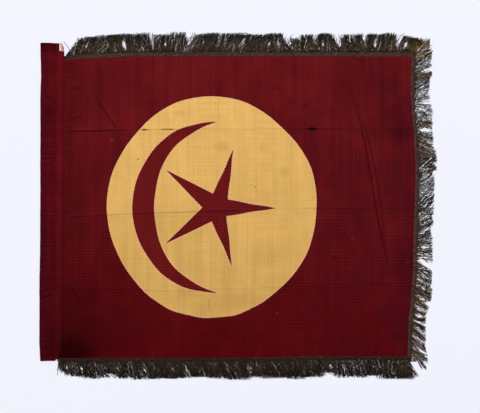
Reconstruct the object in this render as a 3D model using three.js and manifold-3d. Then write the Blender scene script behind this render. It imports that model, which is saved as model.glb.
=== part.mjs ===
// A fringed flag with a pole sleeve, laid out flat on a table with its face up.
// Millimetres. +X runs from the sleeve to the fly edge, +Y to the top edge and +Z up off the table.
// The origin is on the table, under the middle of the flag.

import * as THREE from "three";
import { mergeVertices } from "three/addons/utils/BufferGeometryUtils.js";
import Module from "manifold-3d";

const wasm = await Module();
wasm.setup();

// Sheet
const CLOTH = 1; // thickness of one layer of cloth
const GAP = 0.3; // clearance between neighbouring pieces
const HIGH = 20; // taller than anything on the flag, for cutting right through it
const SPARE = 5; // how far a cut runs on past the piece it is made in

// Field. Each line is a list of [place along the side, where the line runs], with the fringe
// headers starting on the three edges.
const TOP_EDGE = [[-436, 369], [-398, 372.5], [-273, 377.5], [-148, 378.5], [432, 378]];
const BOTTOM_EDGE = [[-452, -378.5], [-148, -378.5], [52, -377.5], [177, -374], [423, -374]];
const FLY_EDGE = [
  [-374, 422.5], [-346, 422], [-283, 424.5], [-221, 430.5], [-158, 435.5], [-83, 436.5],
  [42, 440.5], [117, 441], [192, 436.5], [267, 430], [317, 429], [378, 432],
];

// Fold marks: low ridges across the whole field, and one long slanting pleat
const FOLD_HALF_WIDTH = 16;
const LOWER_FOLD = [[-404, -202], [-167, -212], [14, -205.5], [296, -192], [439, -191]];
const MIDDLE_FOLD = [[-448, -27], [-217, -15.5], [-60, -12], [89, -4.5], [439, -4.5]];
const UPPER_FOLD = [[-436, 188], [-323, 190.5], [-206, 193], [214, 194.5], [439, 194.5]];
const FOLDS = [
  { line: LOWER_FOLD, rise: 2 },
  { line: MIDDLE_FOLD, rise: 2.4 },
  { line: UPPER_FOLD, rise: 3 },
];
const PLEAT = [[-146, 374.5], [-93, 361], [-40, 352], [47, 339], [115, 328], [185, 311], [267, 291]];
const PLEAT_HALF_WIDTH = 12;
const PLEAT_RISE = 3;
const PLEAT_TAPER = 60; // length over which each end of the pleat dies away
const FLAT_EDGE = 24; // the folds die away over this distance from the edges of the field

// Where the sheet of cloth has corners besides those along its folds, its pleat and its edges
const SHEET_ROWS = [-400, -300, -146, -93, 60, 120, 240, 267, 330, 400];
const SHEET_COLUMNS = [-470, -360, -270, -180, -90, 0, 80, 160, 230, 475];
const BESIDE_FOLD = [-1, -0.5, 0, 0.5, 1]; // and across a fold, as fractions of its half width

// Disc: a hand-cut oval, a little uneven, set into the field
const DISC = { x: -68.7, y: -0.9, radiusX: 260.2, radiusY: 276.7 };
const DISC_SIDES = 72;
const UNEVEN = [
  { lobes: 2, by: 1.3, turn: 43 },
  { lobes: 3, by: 1.1, turn: 3 },
  { lobes: 4, by: 1.9, turn: 1 },
  { lobes: 5, by: 0.9, turn: 135 },
  { lobes: 7, by: 0.9, turn: 155 },
  { lobes: 8, by: 0.8, turn: 168 },
];

// Crescent: the outer circle less the inner one, with its horns towards the fly. Both are cut by
// hand: each bulges at some degrees above and below its left end.
const CRESCENT_OUTER = { x: -53.6, y: -1.4, radius: 213.9, bulge: 4, bulgeAt: 57, bulgeHalf: 28 };
const CRESCENT_INNER = { x: 11.9, y: -1.4, radius: 224.6, bulge: 5.6, bulgeAt: 36, bulgeHalf: 30 };
const CRESCENT_STEPS = 28;

// Star: five slender points, one of them towards the fly, with each tip and the inner corner after
// it some degrees out of true
const STAR = { x: -61.9, y: -1.4, tipRadius: 153 };
const TIP_LEAN = [-0.8, 0, -1.7, 0.6, -1.4];
const CORNER_LEAN = [-5.5, -12, 1, 7, 0];
const CORNER_RADIUS = [38.5, 34.5, 30.5, 36, 37.2];

// Torn hole on the upper fold, and the patch behind it
const TEAR = { x: 183, length: 22, width: 6.6, steps: 6, pointed: 1.3 };
const PATCH = { length: 42, width: 13 };

// Pole sleeve: its two long edges
const SLEEVE_LEFT = [
  [-386, -497.5], [-345, -499.5], [-208, -499.5], [-58, -497.5],
  [285, -497], [330, -495.5], [409, -497],
];
const SLEEVE_SEAM = [[-386, -445], [-346, -444], [-108, -440.5], [100, -438], [409, -437]];
const SLEEVE_TOP = 409.5;
const SLEEVE_BOTTOM = -386;
const SLEEVE_STEPS = 14;
const SLEEVE_CROWN = 10;
const LAP_TOP = 388; // the stitched band stops here, short of the tube's top
const NOTCH = [[-461, -386], [-454, -378], [-436, -378], [-436, -400], [-461, -400]];

// The sleeve's section. Each corner is [fraction of the width from the left, height].
const TUBE_END = 0.79; // the under layer stops here, beside the field's hoist edge
const BAND_START = 0.7; // the stitched band runs from here to the seam
const LAP_UNDER = CLOTH + GAP; // the band lies on the field
const LAP_OVER = LAP_UNDER + CLOTH;
const SLEEVE_OUTSIDE = [
  [0.025, 0], [TUBE_END, 0], [TUBE_END, LAP_UNDER], [1, LAP_UNDER], [1, LAP_OVER],
  [TUBE_END, LAP_OVER + 0.4], [BAND_START, LAP_OVER + 0.6], [0.58, SLEEVE_CROWN - 1.8],
  [0.4, SLEEVE_CROWN], [0.2, SLEEVE_CROWN - 0.8], [0.06, SLEEVE_CROWN - 3.4], [0, 2.6],
];
const SLEEVE_INSIDE = [
  [0.05, CLOTH], [0.66, CLOTH], [0.66, CLOTH + 1], [0.56, SLEEVE_CROWN - 2.9],
  [0.4, SLEEVE_CROWN - CLOTH], [0.2, SLEEVE_CROWN - 1.9], [0.08, SLEEVE_CROWN - 4.2], [0.03, 2.8],
];

// Lining tab: the end of the cream lining, beside the tube above the band
const TAB = { left: -448.2, right: -438.5, bottom: 380, top: 409.5, slant: 3.2 };

// Fringe: header lapped on the cloth, and a skirt of locks beyond it
const FRINGE_HIGH = 2.6;
const LAP = 8; // how far the cloth runs under a header
const HEADER = 13.5;
const LOCK_PITCH = 15;
const LOCK_TIP = 0.55; // width of a lock's tip as a fraction of the pitch
const NOTCH_DEPTH = 0.62; // how far out the gaps between locks start, as a fraction of the reach
const LOCK_UNEVEN = { by: 0.05, turns: [5.3, 1.7] }; // how much the locks differ in reach
const NOTCH_UNEVEN = { by: 0.12, turn: 2.9 }; // and the gaps in depth

// Finishes
const RED_SILK = { color: 0x5e0f14, roughness: 0.62, metalness: 0 };
const SLEEVE_SILK = { color: 0x560b12, roughness: 0.66, metalness: 0 };
const GOLD_SILK = { color: 0xdcb266, roughness: 0.6, metalness: 0 };
const CREAM_LINING = { color: 0xcda07d, roughness: 0.85, metalness: 0 };
const DARK_PATCH = { color: 0x14100f, roughness: 0.9, metalness: 0 };
const TARNISHED_METAL = { color: 0x3a342c, roughness: 0.5, metalness: 0.5 };

// Where a line runs at a place along it, by straight runs between its listed points.
function lineAt(line, place) {
  const last = line.length - 1;
  if (place <= line[0][0]) return line[0][1];
  if (place >= line[last][0]) return line[last][1];
  const i = line.findIndex(([at]) => at >= place);
  const [[from, low], [to, high]] = [line[i - 1], line[i]];
  return THREE.MathUtils.mapLinear(place, from, to, low, high);
}

// A rounded ridge: 1 on its line, dying away to 0 at the half width.
function ridge(distance, halfWidth) {
  const share = Math.min(Math.abs(distance) / halfWidth, 1);
  return 0.5 + 0.5 * Math.cos(Math.PI * share);
}

// How far the cloth's underside stands off the table.
function lift(x, y) {
  const inFromSides = Math.min(x - lineAt(SLEEVE_SEAM, y), lineAt(FLY_EDGE, y) - x);
  const inFromEnds = Math.min(lineAt(TOP_EDGE, x) - y, y - lineAt(BOTTOM_EDGE, x));
  const inside = THREE.MathUtils.smoothstep(inFromSides, 0, FLAT_EDGE)
    * THREE.MathUtils.smoothstep(inFromEnds, 0, FLAT_EDGE);
  const folds = FOLDS.map(({ line, rise }) => rise * ridge(y - lineAt(line, x), FOLD_HALF_WIDTH));
  const fromEnd = Math.min(y - PLEAT[0][0], PLEAT.at(-1)[0] - y);
  const pleat = PLEAT_RISE * ridge(x - lineAt(PLEAT, y), PLEAT_HALF_WIDTH)
    * THREE.MathUtils.smoothstep(fromEnd, 0, PLEAT_TAPER);
  return inside * Math.max(...folds, pleat);
}

// A three.js geometry as a solid that can be joined and cut.
function solid(geometry) {
  const bare = geometry.clone().deleteAttribute("normal").deleteAttribute("uv");
  const merged = mergeVertices(bare, 1e-4);
  return new wasm.Manifold(new wasm.Mesh({
    numProp: 3,
    vertProperties: merged.attributes.position.array,
    triVerts: new Uint32Array(merged.index.array),
  }));
}

// A finished piece of the flag: a named mesh of a solid.
function piece(name, shape, finish) {
  const { numProp, vertProperties, triVerts } = shape.getMesh();
  const geometry = new THREE.BufferGeometry();
  geometry.setAttribute("position", new THREE.BufferAttribute(vertProperties, numProp));
  geometry.setIndex(new THREE.BufferAttribute(triVerts, 1));
  geometry.computeVertexNormals();
  const mesh = new THREE.Mesh(geometry, new THREE.MeshStandardMaterial(finish));
  mesh.name = name;
  return mesh;
}

// An upright prism on an outline, with holes where they are given.
function prism(outline, bottom, top, holes = []) {
  const shape = new THREE.Shape(outline);
  shape.holes = holes.map((hole) => new THREE.Path(hole));
  const geometry = new THREE.ExtrudeGeometry(shape, { depth: top - bottom, bevelEnabled: false });
  return solid(geometry.translate(0, 0, bottom));
}

// A closed outline moved inwards by a distance, or outwards by a negative one.
function inset(outline, distance) {
  const turning = THREE.ShapeUtils.isClockWise(outline) ? -1 : 1;
  const side = (from, to) => {
    const along = to.clone().sub(from).normalize();
    return new THREE.Vector2(-along.y, along.x).multiplyScalar(turning);
  };
  return outline.map((corner, i) => {
    const before = side(outline.at(i - 1), corner);
    const after = side(corner, outline[(i + 1) % outline.length]);
    const middle = before.clone().add(after).normalize();
    return corner.clone().addScaledVector(middle, distance / middle.dot(before));
  });
}

// The disc's outline, anticlockwise from the fly side.
function discOutline() {
  return Array.from({ length: DISC_SIDES }, (_, i) => {
    const angle = (2 * Math.PI * i) / DISC_SIDES;
    const out = UNEVEN.reduce((sum, { lobes, by, turn }) =>
      sum + by * Math.cos(lobes * angle - THREE.MathUtils.degToRad(turn)), 0);
    const x = DISC.x + (DISC.radiusX + out) * Math.cos(angle);
    const y = DISC.y + (DISC.radiusY + out) * Math.sin(angle);
    return new THREE.Vector2(x, y);
  });
}

// Points on a bulging circle from one angle to another, both ends included.
function arc({ x, y, radius, bulge, bulgeAt, bulgeHalf }, from, to, steps) {
  return Array.from({ length: steps + 1 }, (_, i) => {
    const angle = from + ((to - from) * i) / steps;
    const fromLeft = Math.abs(THREE.MathUtils.radToDeg(angle) - 180);
    const reach = radius + bulge * ridge(fromLeft - bulgeAt, bulgeHalf);
    return new THREE.Vector2(x + reach * Math.cos(angle), y + reach * Math.sin(angle));
  });
}

// The crescent's outline: down the outer circle's back, then up the inner one's.
function crescentOutline() {
  const between = CRESCENT_INNER.x - CRESCENT_OUTER.x;
  const squares = CRESCENT_OUTER.radius ** 2 - CRESCENT_INNER.radius ** 2;
  const toHorn = (between ** 2 + squares) / (2 * between);
  const outer = Math.acos(toHorn / CRESCENT_OUTER.radius);
  const inner = Math.acos((toHorn - between) / CRESCENT_INNER.radius);
  const whole = 2 * Math.PI;
  const back = arc(CRESCENT_OUTER, outer, whole - outer, CRESCENT_STEPS);
  const belly = arc(CRESCENT_INNER, whole - inner, inner, CRESCENT_STEPS);
  return [...back, ...belly.slice(1, -1)];
}

// The star's outline, tip and inner corner in turn.
function starOutline() {
  const arm = 360 / TIP_LEAN.length;
  return TIP_LEAN.flatMap((lean, i) => {
    const tip = [STAR.tipRadius, i * arm + lean];
    const corner = [CORNER_RADIUS[i], (i + 0.5) * arm + CORNER_LEAN[i]];
    return [tip, corner].map(([radius, degrees]) => {
      const angle = THREE.MathUtils.degToRad(degrees);
      return new THREE.Vector2(STAR.x + radius * Math.cos(angle), STAR.y + radius * Math.sin(angle));
    });
  });
}

// The tear: an almond along the upper fold.
function tearOutline() {
  const { x, length, width, steps, pointed } = TEAR;
  return Array.from({ length: 2 * steps }, (_, i) => {
    const angle = (Math.PI * i) / steps;
    const across = x + (length / 2) * Math.cos(angle);
    const up = (width / 2) * Math.sign(Math.sin(angle)) * Math.abs(Math.sin(angle)) ** pointed;
    return new THREE.Vector2(across, lineAt(UPPER_FOLD, across) + up);
  });
}

// The sleeve's width at a height up the hoist, shared out from 0 at its left to 1 at its seam.
function acrossSleeve(y, share) {
  return THREE.MathUtils.lerp(lineAt(SLEEVE_LEFT, y), lineAt(SLEEVE_SEAM, y), share);
}

// The field's cut edge, which runs under the fringe headers and up to the sleeve's under layer.
function fieldOutline() {
  const hoist = (y) => acrossSleeve(y, TUBE_END) + 2 * GAP;
  const bottom = BOTTOM_EDGE.slice(1).map(([x, y]) => new THREE.Vector2(x, y - LAP));
  const fly = FLY_EDGE.map(([y, x]) => new THREE.Vector2(x + LAP, y));
  const top = TOP_EDGE.map(([x, y]) => new THREE.Vector2(x, y + LAP)).reverse();
  const low = BOTTOM_EDGE[0][1] - LAP;
  const high = TOP_EDGE[0][1] + LAP;
  const up = SLEEVE_SEAM.map(([y]) => THREE.MathUtils.clamp(y, low, high)).reverse();
  const side = [...new Set(up)].map((y) => new THREE.Vector2(hoist(y), y));
  // the corners at the fly are where the lapped edges cross
  fly[0].y = bottom.at(-1).y;
  fly.at(-1).y = top[0].y;
  return [...bottom.slice(0, -1), ...fly, ...top.slice(1), ...side];
}

// A sheet of cloth over the whole flag, with its ridges. Its rows of corners follow the folds and
// its columns follow the pleat.
function clothSheet() {
  const rows = SHEET_ROWS.map((y) => () => y);
  for (const { line } of FOLDS) {
    rows.push(...BESIDE_FOLD.map((share) => (x) => lineAt(line, x) + share * FOLD_HALF_WIDTH));
  }
  const columns = SHEET_COLUMNS.map((x) => () => x);
  for (const inFromEdge of [0, FLAT_EDGE]) {
    columns.push((y) => lineAt(SLEEVE_SEAM, y) + inFromEdge);
    columns.push((y) => lineAt(FLY_EDGE, y) - inFromEdge);
  }
  columns.push(...BESIDE_FOLD.map((share) => (y) => lineAt(PLEAT, y) + share * PLEAT_HALF_WIDTH));
  rows.sort((a, b) => a(0) - b(0));
  columns.sort((a, b) => a(0) - b(0));
  const sheet = new THREE.BoxGeometry(1, 1, 1, columns.length - 1, rows.length - 1, 1);
  const corners = sheet.attributes.position;
  for (let i = 0; i < corners.count; i += 1) {
    const column = columns[Math.round((corners.getX(i) + 0.5) * (columns.length - 1))];
    const row = rows[Math.round((corners.getY(i) + 0.5) * (rows.length - 1))];
    const x = column(row(column(0)));
    const y = row(x);
    const upper = corners.getZ(i) > 0 ? CLOTH : 0;
    corners.setXYZ(i, x, y, lift(x, y) + upper);
  }
  return solid(sheet);
}

// The sleeve: its section run along the hoist between its two edges, then the ends of its band cut.
function sleeveSolid() {
  const points = (corners) => corners.map(([share, z]) => new THREE.Vector2(share, z));
  const section = new THREE.Shape(points(SLEEVE_OUTSIDE));
  section.holes = [new THREE.Path(points(SLEEVE_INSIDE))];
  const length = SLEEVE_TOP - SLEEVE_BOTTOM;
  const tube = new THREE.ExtrudeGeometry(section, {
    depth: length,
    steps: SLEEVE_STEPS,
    bevelEnabled: false,
  });
  tube.rotateX(Math.PI / 2).translate(0, SLEEVE_TOP, 0);
  const corners = tube.attributes.position;
  for (let i = 0; i < corners.count; i += 1) {
    corners.setX(i, acrossSleeve(corners.getY(i), corners.getX(i)));
  }
  const bandTop = [[LAP_TOP, 0], [LAP_TOP, SPARE], [SLEEVE_TOP + SPARE, SPARE], [SLEEVE_TOP + SPARE, 0]]
    .map(([y, past]) => new THREE.Vector2(acrossSleeve(y, past > 0 ? 1 : TUBE_END) + past, y));
  const notch = NOTCH.map(([x, y]) => new THREE.Vector2(x, y));
  return solid(tube).subtract(prism(bandTop, -SPARE, HIGH)).subtract(prism(notch, -SPARE, HIGH));
}

// The lining tab: a flat scrap whose top corner is cut on the slant.
function tabOutline() {
  const { left, right, bottom, top, slant } = TAB;
  return [[left, bottom], [right, bottom], [right, top - slant], [left + slant, top], [left, top]]
    .map(([x, y]) => new THREE.Vector2(x, y));
}

// The patch behind the tear, under the hollow of the upper fold.
function patchOutline() {
  const middle = lineAt(UPPER_FOLD, TEAR.x);
  return [[-1, -1], [1, -1], [1, 1], [-1, 1]].map(([sideways, up]) =>
    new THREE.Vector2(TEAR.x + (sideways * PATCH.length) / 2, middle + (up * PATCH.width) / 2));
}

// One comb of fringe. edge is the line where its header starts and point(along, out) is a place
// beyond it. reach lists how far the locks stand out and sway how much they lean, at places along.
function fringeSolid({ from, to, edge, point, reach, sway }) {
  const count = Math.round((to - from) / LOCK_PITCH);
  const pitch = (to - from) / count;
  const at = (along, out) => point(along + out * lineAt(sway, along), out);
  const inner = edge.map(([along]) => along).filter((along) => along > from && along < to);
  const outline = [from, ...inner, to].map((along) => at(along, 0));
  for (let lock = count - 1; lock >= 0; lock -= 1) {
    const middle = from + (lock + 0.5) * pitch;
    const uneven = LOCK_UNEVEN.turns.reduce((product, turn) => product * Math.cos(turn * lock), 1);
    const out = lineAt(reach, middle) * (1 - LOCK_UNEVEN.by * (1 - uneven));
    outline.push(at(middle + (LOCK_TIP * pitch) / 2, out), at(middle - (LOCK_TIP * pitch) / 2, out));
    if (lock > 0) {
      const depth = NOTCH_DEPTH + NOTCH_UNEVEN.by * Math.sin(NOTCH_UNEVEN.turn * lock);
      outline.push(at(middle - pitch / 2, Math.max(HEADER, out * depth)));
    }
  }
  return prism(outline, 0, FRINGE_HIGH);
}

const FRINGES = {
  fringe_top: {
    from: -435,
    to: 431.6,
    edge: TOP_EDGE,
    point: (x, out) => new THREE.Vector2(x, lineAt(TOP_EDGE, x) + out),
    reach: [[-435, 34], [-412, 46], [-385, 51], [-330, 55], [431, 55]],
    sway: [[-435, 0.4], [-400, 0.2], [-310, -0.1], [-240, 0], [-148, 0.2], [60, 0.2], [140, -0.1],
      [300, 0], [400, 0.3], [431.6, 1]],
  },
  fringe_fly: {
    from: -373.4,
    to: 377.4,
    edge: FLY_EDGE,
    point: (y, out) => new THREE.Vector2(lineAt(FLY_EDGE, y) + out, y),
    reach: [[-373, 46], [-350, 56], [-320, 48], [-270, 42], [-245, 43], [-205, 53], [40, 52],
      [119, 58], [200, 52], [292, 48], [377, 48]],
    sway: [[-373.4, -1], [-340, -0.4], [-140, -0.3], [-100, 0.2], [70, 0.2], [120, -0.3],
      [200, -0.3], [260, 0], [340, 0.2], [377.4, 1]],
  },
  fringe_bottom: {
    from: -449,
    to: 422.1,
    edge: BOTTOM_EDGE,
    point: (x, out) => new THREE.Vector2(x, lineAt(BOTTOM_EDGE, x) - out),
    reach: [[-449, 38], [-425, 48], [-365, 55], [-345, 40], [-310, 54], [-180, 52], [-110, 48],
      [-20, 55], [40, 46], [70, 53], [170, 53], [225, 42], [255, 54], [400, 55], [422, 50]],
    sway: [[-449, 0.4], [-420, 0.15], [360, 0.15], [400, 0.3], [422.1, 1]],
  },
};

const disc = discOutline();
const crescent = crescentOutline();
const star = starOutline();
const field = fieldOutline();
const sheet = clothSheet();
const cutFrom = (outline, holes) => sheet.intersect(prism(outline, -SPARE, HIGH, holes));
const underHeaders = prism(inset(field, -GAP), -SPARE, CLOTH + GAP);

const flag = new THREE.Group();
flag.add(
  piece("field", cutFrom(field, [disc, tearOutline()]), RED_SILK),
  piece("disc", cutFrom(inset(disc, GAP), [crescent, star]), GOLD_SILK),
  piece("crescent", cutFrom(inset(crescent, GAP)), RED_SILK),
  piece("star", cutFrom(inset(star, GAP)), RED_SILK),
  piece("pole_sleeve", sleeveSolid(), SLEEVE_SILK),
  piece("lining_tab", prism(tabOutline(), 0, CLOTH), CREAM_LINING),
  piece("tear_backing", prism(patchOutline(), 0, CLOTH), DARK_PATCH),
);
for (const [name, fringe] of Object.entries(FRINGES)) {
  flag.add(piece(name, fringeSolid(fringe).subtract(underHeaders), TARNISHED_METAL));
}

// The origin is under the middle of the flag's outline.
const middle = new THREE.Box3().setFromObject(flag).getCenter(new THREE.Vector3());
flag.position.set(-middle.x, -middle.y, 0);

export default flag;
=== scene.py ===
"""Looks for a fringed silk flag with a pole sleeve, laid out flat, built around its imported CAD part.

Lengths in the tables are millimetres on the flag's own drawing: x runs from the sleeve to the fly
edge, y to the top edge and z up off the table. on_part() turns them into the part's metres.
"""

import math
from collections import namedtuple

import bpy
import numpy as np
from bpy.props import FloatProperty, FloatVectorProperty, PointerProperty
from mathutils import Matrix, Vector
from mathutils.geometry import delaunay_2d_cdt
from mathutils.kdtree import KDTree


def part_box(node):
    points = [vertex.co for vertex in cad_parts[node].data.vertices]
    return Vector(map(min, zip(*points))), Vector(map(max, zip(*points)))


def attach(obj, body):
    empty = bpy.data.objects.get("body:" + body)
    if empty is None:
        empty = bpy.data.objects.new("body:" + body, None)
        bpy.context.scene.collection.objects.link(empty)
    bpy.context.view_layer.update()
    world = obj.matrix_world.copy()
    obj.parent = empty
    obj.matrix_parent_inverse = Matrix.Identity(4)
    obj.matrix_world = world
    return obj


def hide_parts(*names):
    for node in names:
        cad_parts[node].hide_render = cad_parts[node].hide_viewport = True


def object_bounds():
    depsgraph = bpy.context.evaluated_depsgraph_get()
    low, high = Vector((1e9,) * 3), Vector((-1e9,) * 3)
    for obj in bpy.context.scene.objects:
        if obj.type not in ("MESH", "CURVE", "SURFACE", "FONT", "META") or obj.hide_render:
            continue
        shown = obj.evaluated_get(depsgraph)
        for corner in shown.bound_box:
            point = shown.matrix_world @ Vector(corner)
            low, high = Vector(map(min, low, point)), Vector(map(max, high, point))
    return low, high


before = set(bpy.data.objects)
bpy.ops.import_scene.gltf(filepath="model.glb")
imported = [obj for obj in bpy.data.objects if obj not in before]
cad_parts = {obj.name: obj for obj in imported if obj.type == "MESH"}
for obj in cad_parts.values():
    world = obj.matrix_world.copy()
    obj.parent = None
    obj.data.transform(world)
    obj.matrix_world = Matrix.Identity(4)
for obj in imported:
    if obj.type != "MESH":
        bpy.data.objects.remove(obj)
cad_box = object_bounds()

bl_info = {
    "name": "Fringed flag",
    "version": (1, 0, 0),
    "blender": (4, 5, 0),
    "location": "View3D > Sidebar > Flag",
    "description": "Builds a worn, fringed silk flag with a pole sleeve on its CAD part",
    "category": "Add Mesh",
}

# The drawing, as the CAD part has it. A line is a list of (place along the side, where it runs).
CLOTH = 1.0
TOP_EDGE = [(-436, 369), (-398, 372.5), (-273, 377.5), (-148, 378.5), (432, 378)]
BOTTOM_EDGE = [(-452, -378.5), (-148, -378.5), (52, -377.5), (177, -374), (423, -374)]
FLY_EDGE = [
    (-374, 422.5), (-346, 422), (-283, 424.5), (-221, 430.5), (-158, 435.5), (-83, 436.5),
    (42, 440.5), (117, 441), (192, 436.5), (267, 430), (317, 429), (378, 432),
]
LAP = 8
LOWER_FOLD = [(-404, -202), (-167, -212), (14, -205.5), (296, -192), (439, -191)]
MIDDLE_FOLD = [(-448, -27), (-217, -15.5), (-60, -12), (89, -4.5), (439, -4.5)]
UPPER_FOLD = [(-436, 188), (-323, 190.5), (-206, 193), (214, 194.5), (439, 194.5)]
FOLD_HALF_WIDTH = 16
FOLD_RISES = [(LOWER_FOLD, 2), (MIDDLE_FOLD, 2.4), (UPPER_FOLD, 3)]
PLEAT = [(-146, 374.5), (-93, 361), (-40, 352), (47, 339), (115, 328), (185, 311), (267, 291)]
PLEAT_HALF_WIDTH = 12
PLEAT_RISE = 3
PLEAT_TAPER = 60
FLAT_EDGE = 24
DISC = {"x": -68.7, "y": -0.9, "radius_x": 260.2, "radius_y": 276.7, "sides": 72}
DISC_LOBES = [(2, 1.3, 43), (3, 1.1, 3), (4, 1.9, 1), (5, 0.9, 135), (7, 0.9, 155), (8, 0.8, 168)]
CRESCENT_OUTER = {"x": -53.6, "y": -1.4, "radius": 213.9, "bulge": 4, "at": 57, "half": 28}
CRESCENT_INNER = {"x": 11.9, "y": -1.4, "radius": 224.6, "bulge": 5.6, "at": 36, "half": 30}
CRESCENT_STEPS = 40
STAR = {"x": -61.9, "y": -1.4, "tip": 153}
TIP_LEAN = [-0.8, 0, -1.7, 0.6, -1.4]
CORNER_LEAN = [-5.5, -12, 1, 7, 0]
CORNER_RADIUS = [38.5, 34.5, 30.5, 36, 37.2]
TEAR = {"x": 183, "length": 22, "width": 6.6, "steps": 12, "pointed": 1.3}
PATCH = {"length": 42, "width": 13}
SLEEVE_LEFT = [
    (-386, -497.5), (-345, -499.5), (-208, -499.5), (-58, -497.5),
    (285, -497), (330, -495.5), (409, -497),
]
SLEEVE_SEAM = [(-386, -445), (-346, -444), (-108, -440.5), (100, -438), (409, -437)]
SLEEVE_TOP = 409.5
TUBE_END = 0.79
LAP_TOP = 388
TAB = {"left": -448.2, "right": -438.5, "bottom": 380, "top": 409.5, "slant": 3.2}
HEADER = 13.5

# How the drawing's origin lies on the part: both edges are read from the sleeve's own box.
SLEEVE_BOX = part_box("pole_sleeve")
SHIFT = np.array([
    SLEEVE_BOX[0].x * 1000 - min(x for _, x in SLEEVE_LEFT),
    SLEEVE_BOX[1].y * 1000 - SLEEVE_TOP,
    0,
])

# Finer shape than the part has
SILK = 0.4  # thickness of the silk
ON_TABLE = 0.02  # nothing lies lower than this
TUCK = 0.5  # how far a cloth dips where it runs under the disc's edge
SEAM_LAP = 2  # and how far it runs on under it
RIDGE_SHARE = 0.4  # the pressed folds stand this much of the part's ridges high
PLEAT_SHARE = 0.7  # and the pleat this much of its own ridge
CLOTH_SPACING = 6.3  # between the points of a large cloth's mesh
FRAY_RADIUS = 0.13
SEWING_RADIUS, SEWING_PITCH = 0.28, 4.6  # the sleeve's running stitches
OVERCAST_RADIUS, OVERCAST_PITCH = 0.26, 3.2  # the stitches round the disc and the devices
HEADER_STITCH_RADIUS, HEADER_STITCH_PITCH = 0.34, 3.1
SILK_RELIEF, THREAD_RELIEF = 0.0004, 0.0003  # how deep the materials' relief is, in metres
CUT_EDGE = math.radians(55)  # sheets are shaded smooth up to this angle
BANK_SHARE = 0.25  # the cloth beside a crease stands up this much of the crease's depth
BANK_PLACE, BANK_WIDTH = 2.2, 1.4  # where it does so, in widths of the crease

# dark: how much painted shade, with dirt, lies along a crease
Crease = namedtuple("Crease", "points width depth dark")


def fold_crease(line, width, depth, dark):
    """A crease along a fold of the whole field, with its darkness listed along x."""
    wander = np.random.default_rng(len(dark))
    x = np.arange(line[0][0], line[-1][0], 18)
    y = line_at(line, x) + wander.normal(0, 0.35, len(x))
    return Crease(np.column_stack([x, y]), width, depth, dark)


def line_at(line, place):
    """Where a listed line runs at a place along it, by straight runs between its points."""
    places, runs = zip(*line)
    return np.interp(place, places, runs)


def smooth(share):
    """A share from 0 to 1, easing in and out."""
    share = np.clip(share, 0, 1)
    return share * share * (3 - 2 * share)


def bell(distance, width):
    """1 at no distance, dying away over about a width."""
    return np.exp(-((distance / width) ** 2))


def unit(vectors):
    """Vectors in their own directions, each one long."""
    return vectors / np.linalg.norm(vectors, axis=-1, keepdims=True)


def rightward(ahead):
    """The directions to the right of flat directions, which is outwards on an anticlockwise outline."""
    return np.column_stack([ahead[:, 1], -ahead[:, 0]])


def distance_along(points):
    """How far each point of a line is from its first, along the line."""
    return np.concatenate([[0], np.cumsum(np.linalg.norm(np.diff(points, axis=0), axis=1))])


def ridge(distance, half_width):
    """A rounded ridge: 1 on its line, dying away to 0 at the half width."""
    share = np.minimum(np.abs(distance) / half_width, 1)
    return 0.5 + 0.5 * np.cos(np.pi * share)


def lift(x, y):
    """How far the cloth's underside stands off the table at its pressed folds."""
    sides = np.minimum(x - line_at(SLEEVE_SEAM, y), line_at(FLY_EDGE, y) - x)
    ends = np.minimum(line_at(TOP_EDGE, x) - y, y - line_at(BOTTOM_EDGE, x))
    inside = smooth(sides / FLAT_EDGE) * smooth(ends / FLAT_EDGE)
    rises = [rise * ridge(y - line_at(line, x), FOLD_HALF_WIDTH) for line, rise in FOLD_RISES]
    from_end = np.minimum(y - PLEAT[0][0], PLEAT[-1][0] - y)
    pleat = PLEAT_RISE * ridge(x - line_at(PLEAT, y), PLEAT_HALF_WIDTH)
    pleat = pleat * smooth(from_end / PLEAT_TAPER)
    return RIDGE_SHARE * inside * np.max([*rises, pleat / RIDGE_SHARE * PLEAT_SHARE], axis=0)


def swell(x, y):
    """The slight unevenness of cloth that lies on a table."""
    return 0.25 * np.sin(x / 47 + 1.3 * np.sin(y / 83)) * np.sin(y / 39)


# Creases that cross the whole field: painted shade along the fold, with dirt where they were handled
FIELD_FOLDS = [
    fold_crease(UPPER_FOLD, 1.2, 0.8, [
        (-436, 0.75), (-385, 0.8), (-370, 1.2), (-336, 1.2), (-333, 0.8), (-330, 1.4), (-318, 1.4),
        (-312, 0.7), (-285, 0.9), (-262, 0.25), (-246, 0.3), (-243, 1.6), (-231, 1.6), (-228, 0.6),
        (-203, 0.35), (-198, 0.2), (-195, 1.0), (-166, 1.0), (-160, 0.5), (-110, 0.5), (-90, 0.22),
        (60, 0.2), (120, 0.3), (165, 0.7), (200, 0.8), (240, 0.55), (300, 0.5), (360, 0.4), (439, 0.3),
    ]),
    fold_crease(MIDDLE_FOLD, 1.4, 0.7, [
        (-448, 0.5), (-330, 0.6), (-300, 0.3), (-200, 0.45), (-110, 0.6), (-60, 0.9), (-10, 0.8),
        (0, 0.15), (150, 0.15), (190, 0.5), (300, 0.6), (400, 0.6), (439, 0.5),
    ]),
    fold_crease(LOWER_FOLD, 1.4, 0.6, [
        (-404, 0.6), (-300, 0.5), (-240, 0.3), (-180, 0.2), (60, 0.15), (120, 0.2), (300, 0.3),
        (439, 0.4),
    ]),
]
PLEAT_SIDES = [
    Crease([(276, 300), (283, 280), (288, 259), (304.5, 204.5), (317, 142), (329.5, 72), (340.5, 2),
            (354.5, -70), (373, -150)], 2.6, 1.0,
           [(276, 0.12), (286, 0.3), (296, 0.7), (355, 0.75), (373, 0.5)]),
    Crease([(294.5, 267), (314.5, 197), (329.5, 142), (342, 79.5), (353, 17), (359.5, -46),
            (364.5, -96), (375.5, -138)], 2.2, 0.8, 0.55),
]
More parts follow.
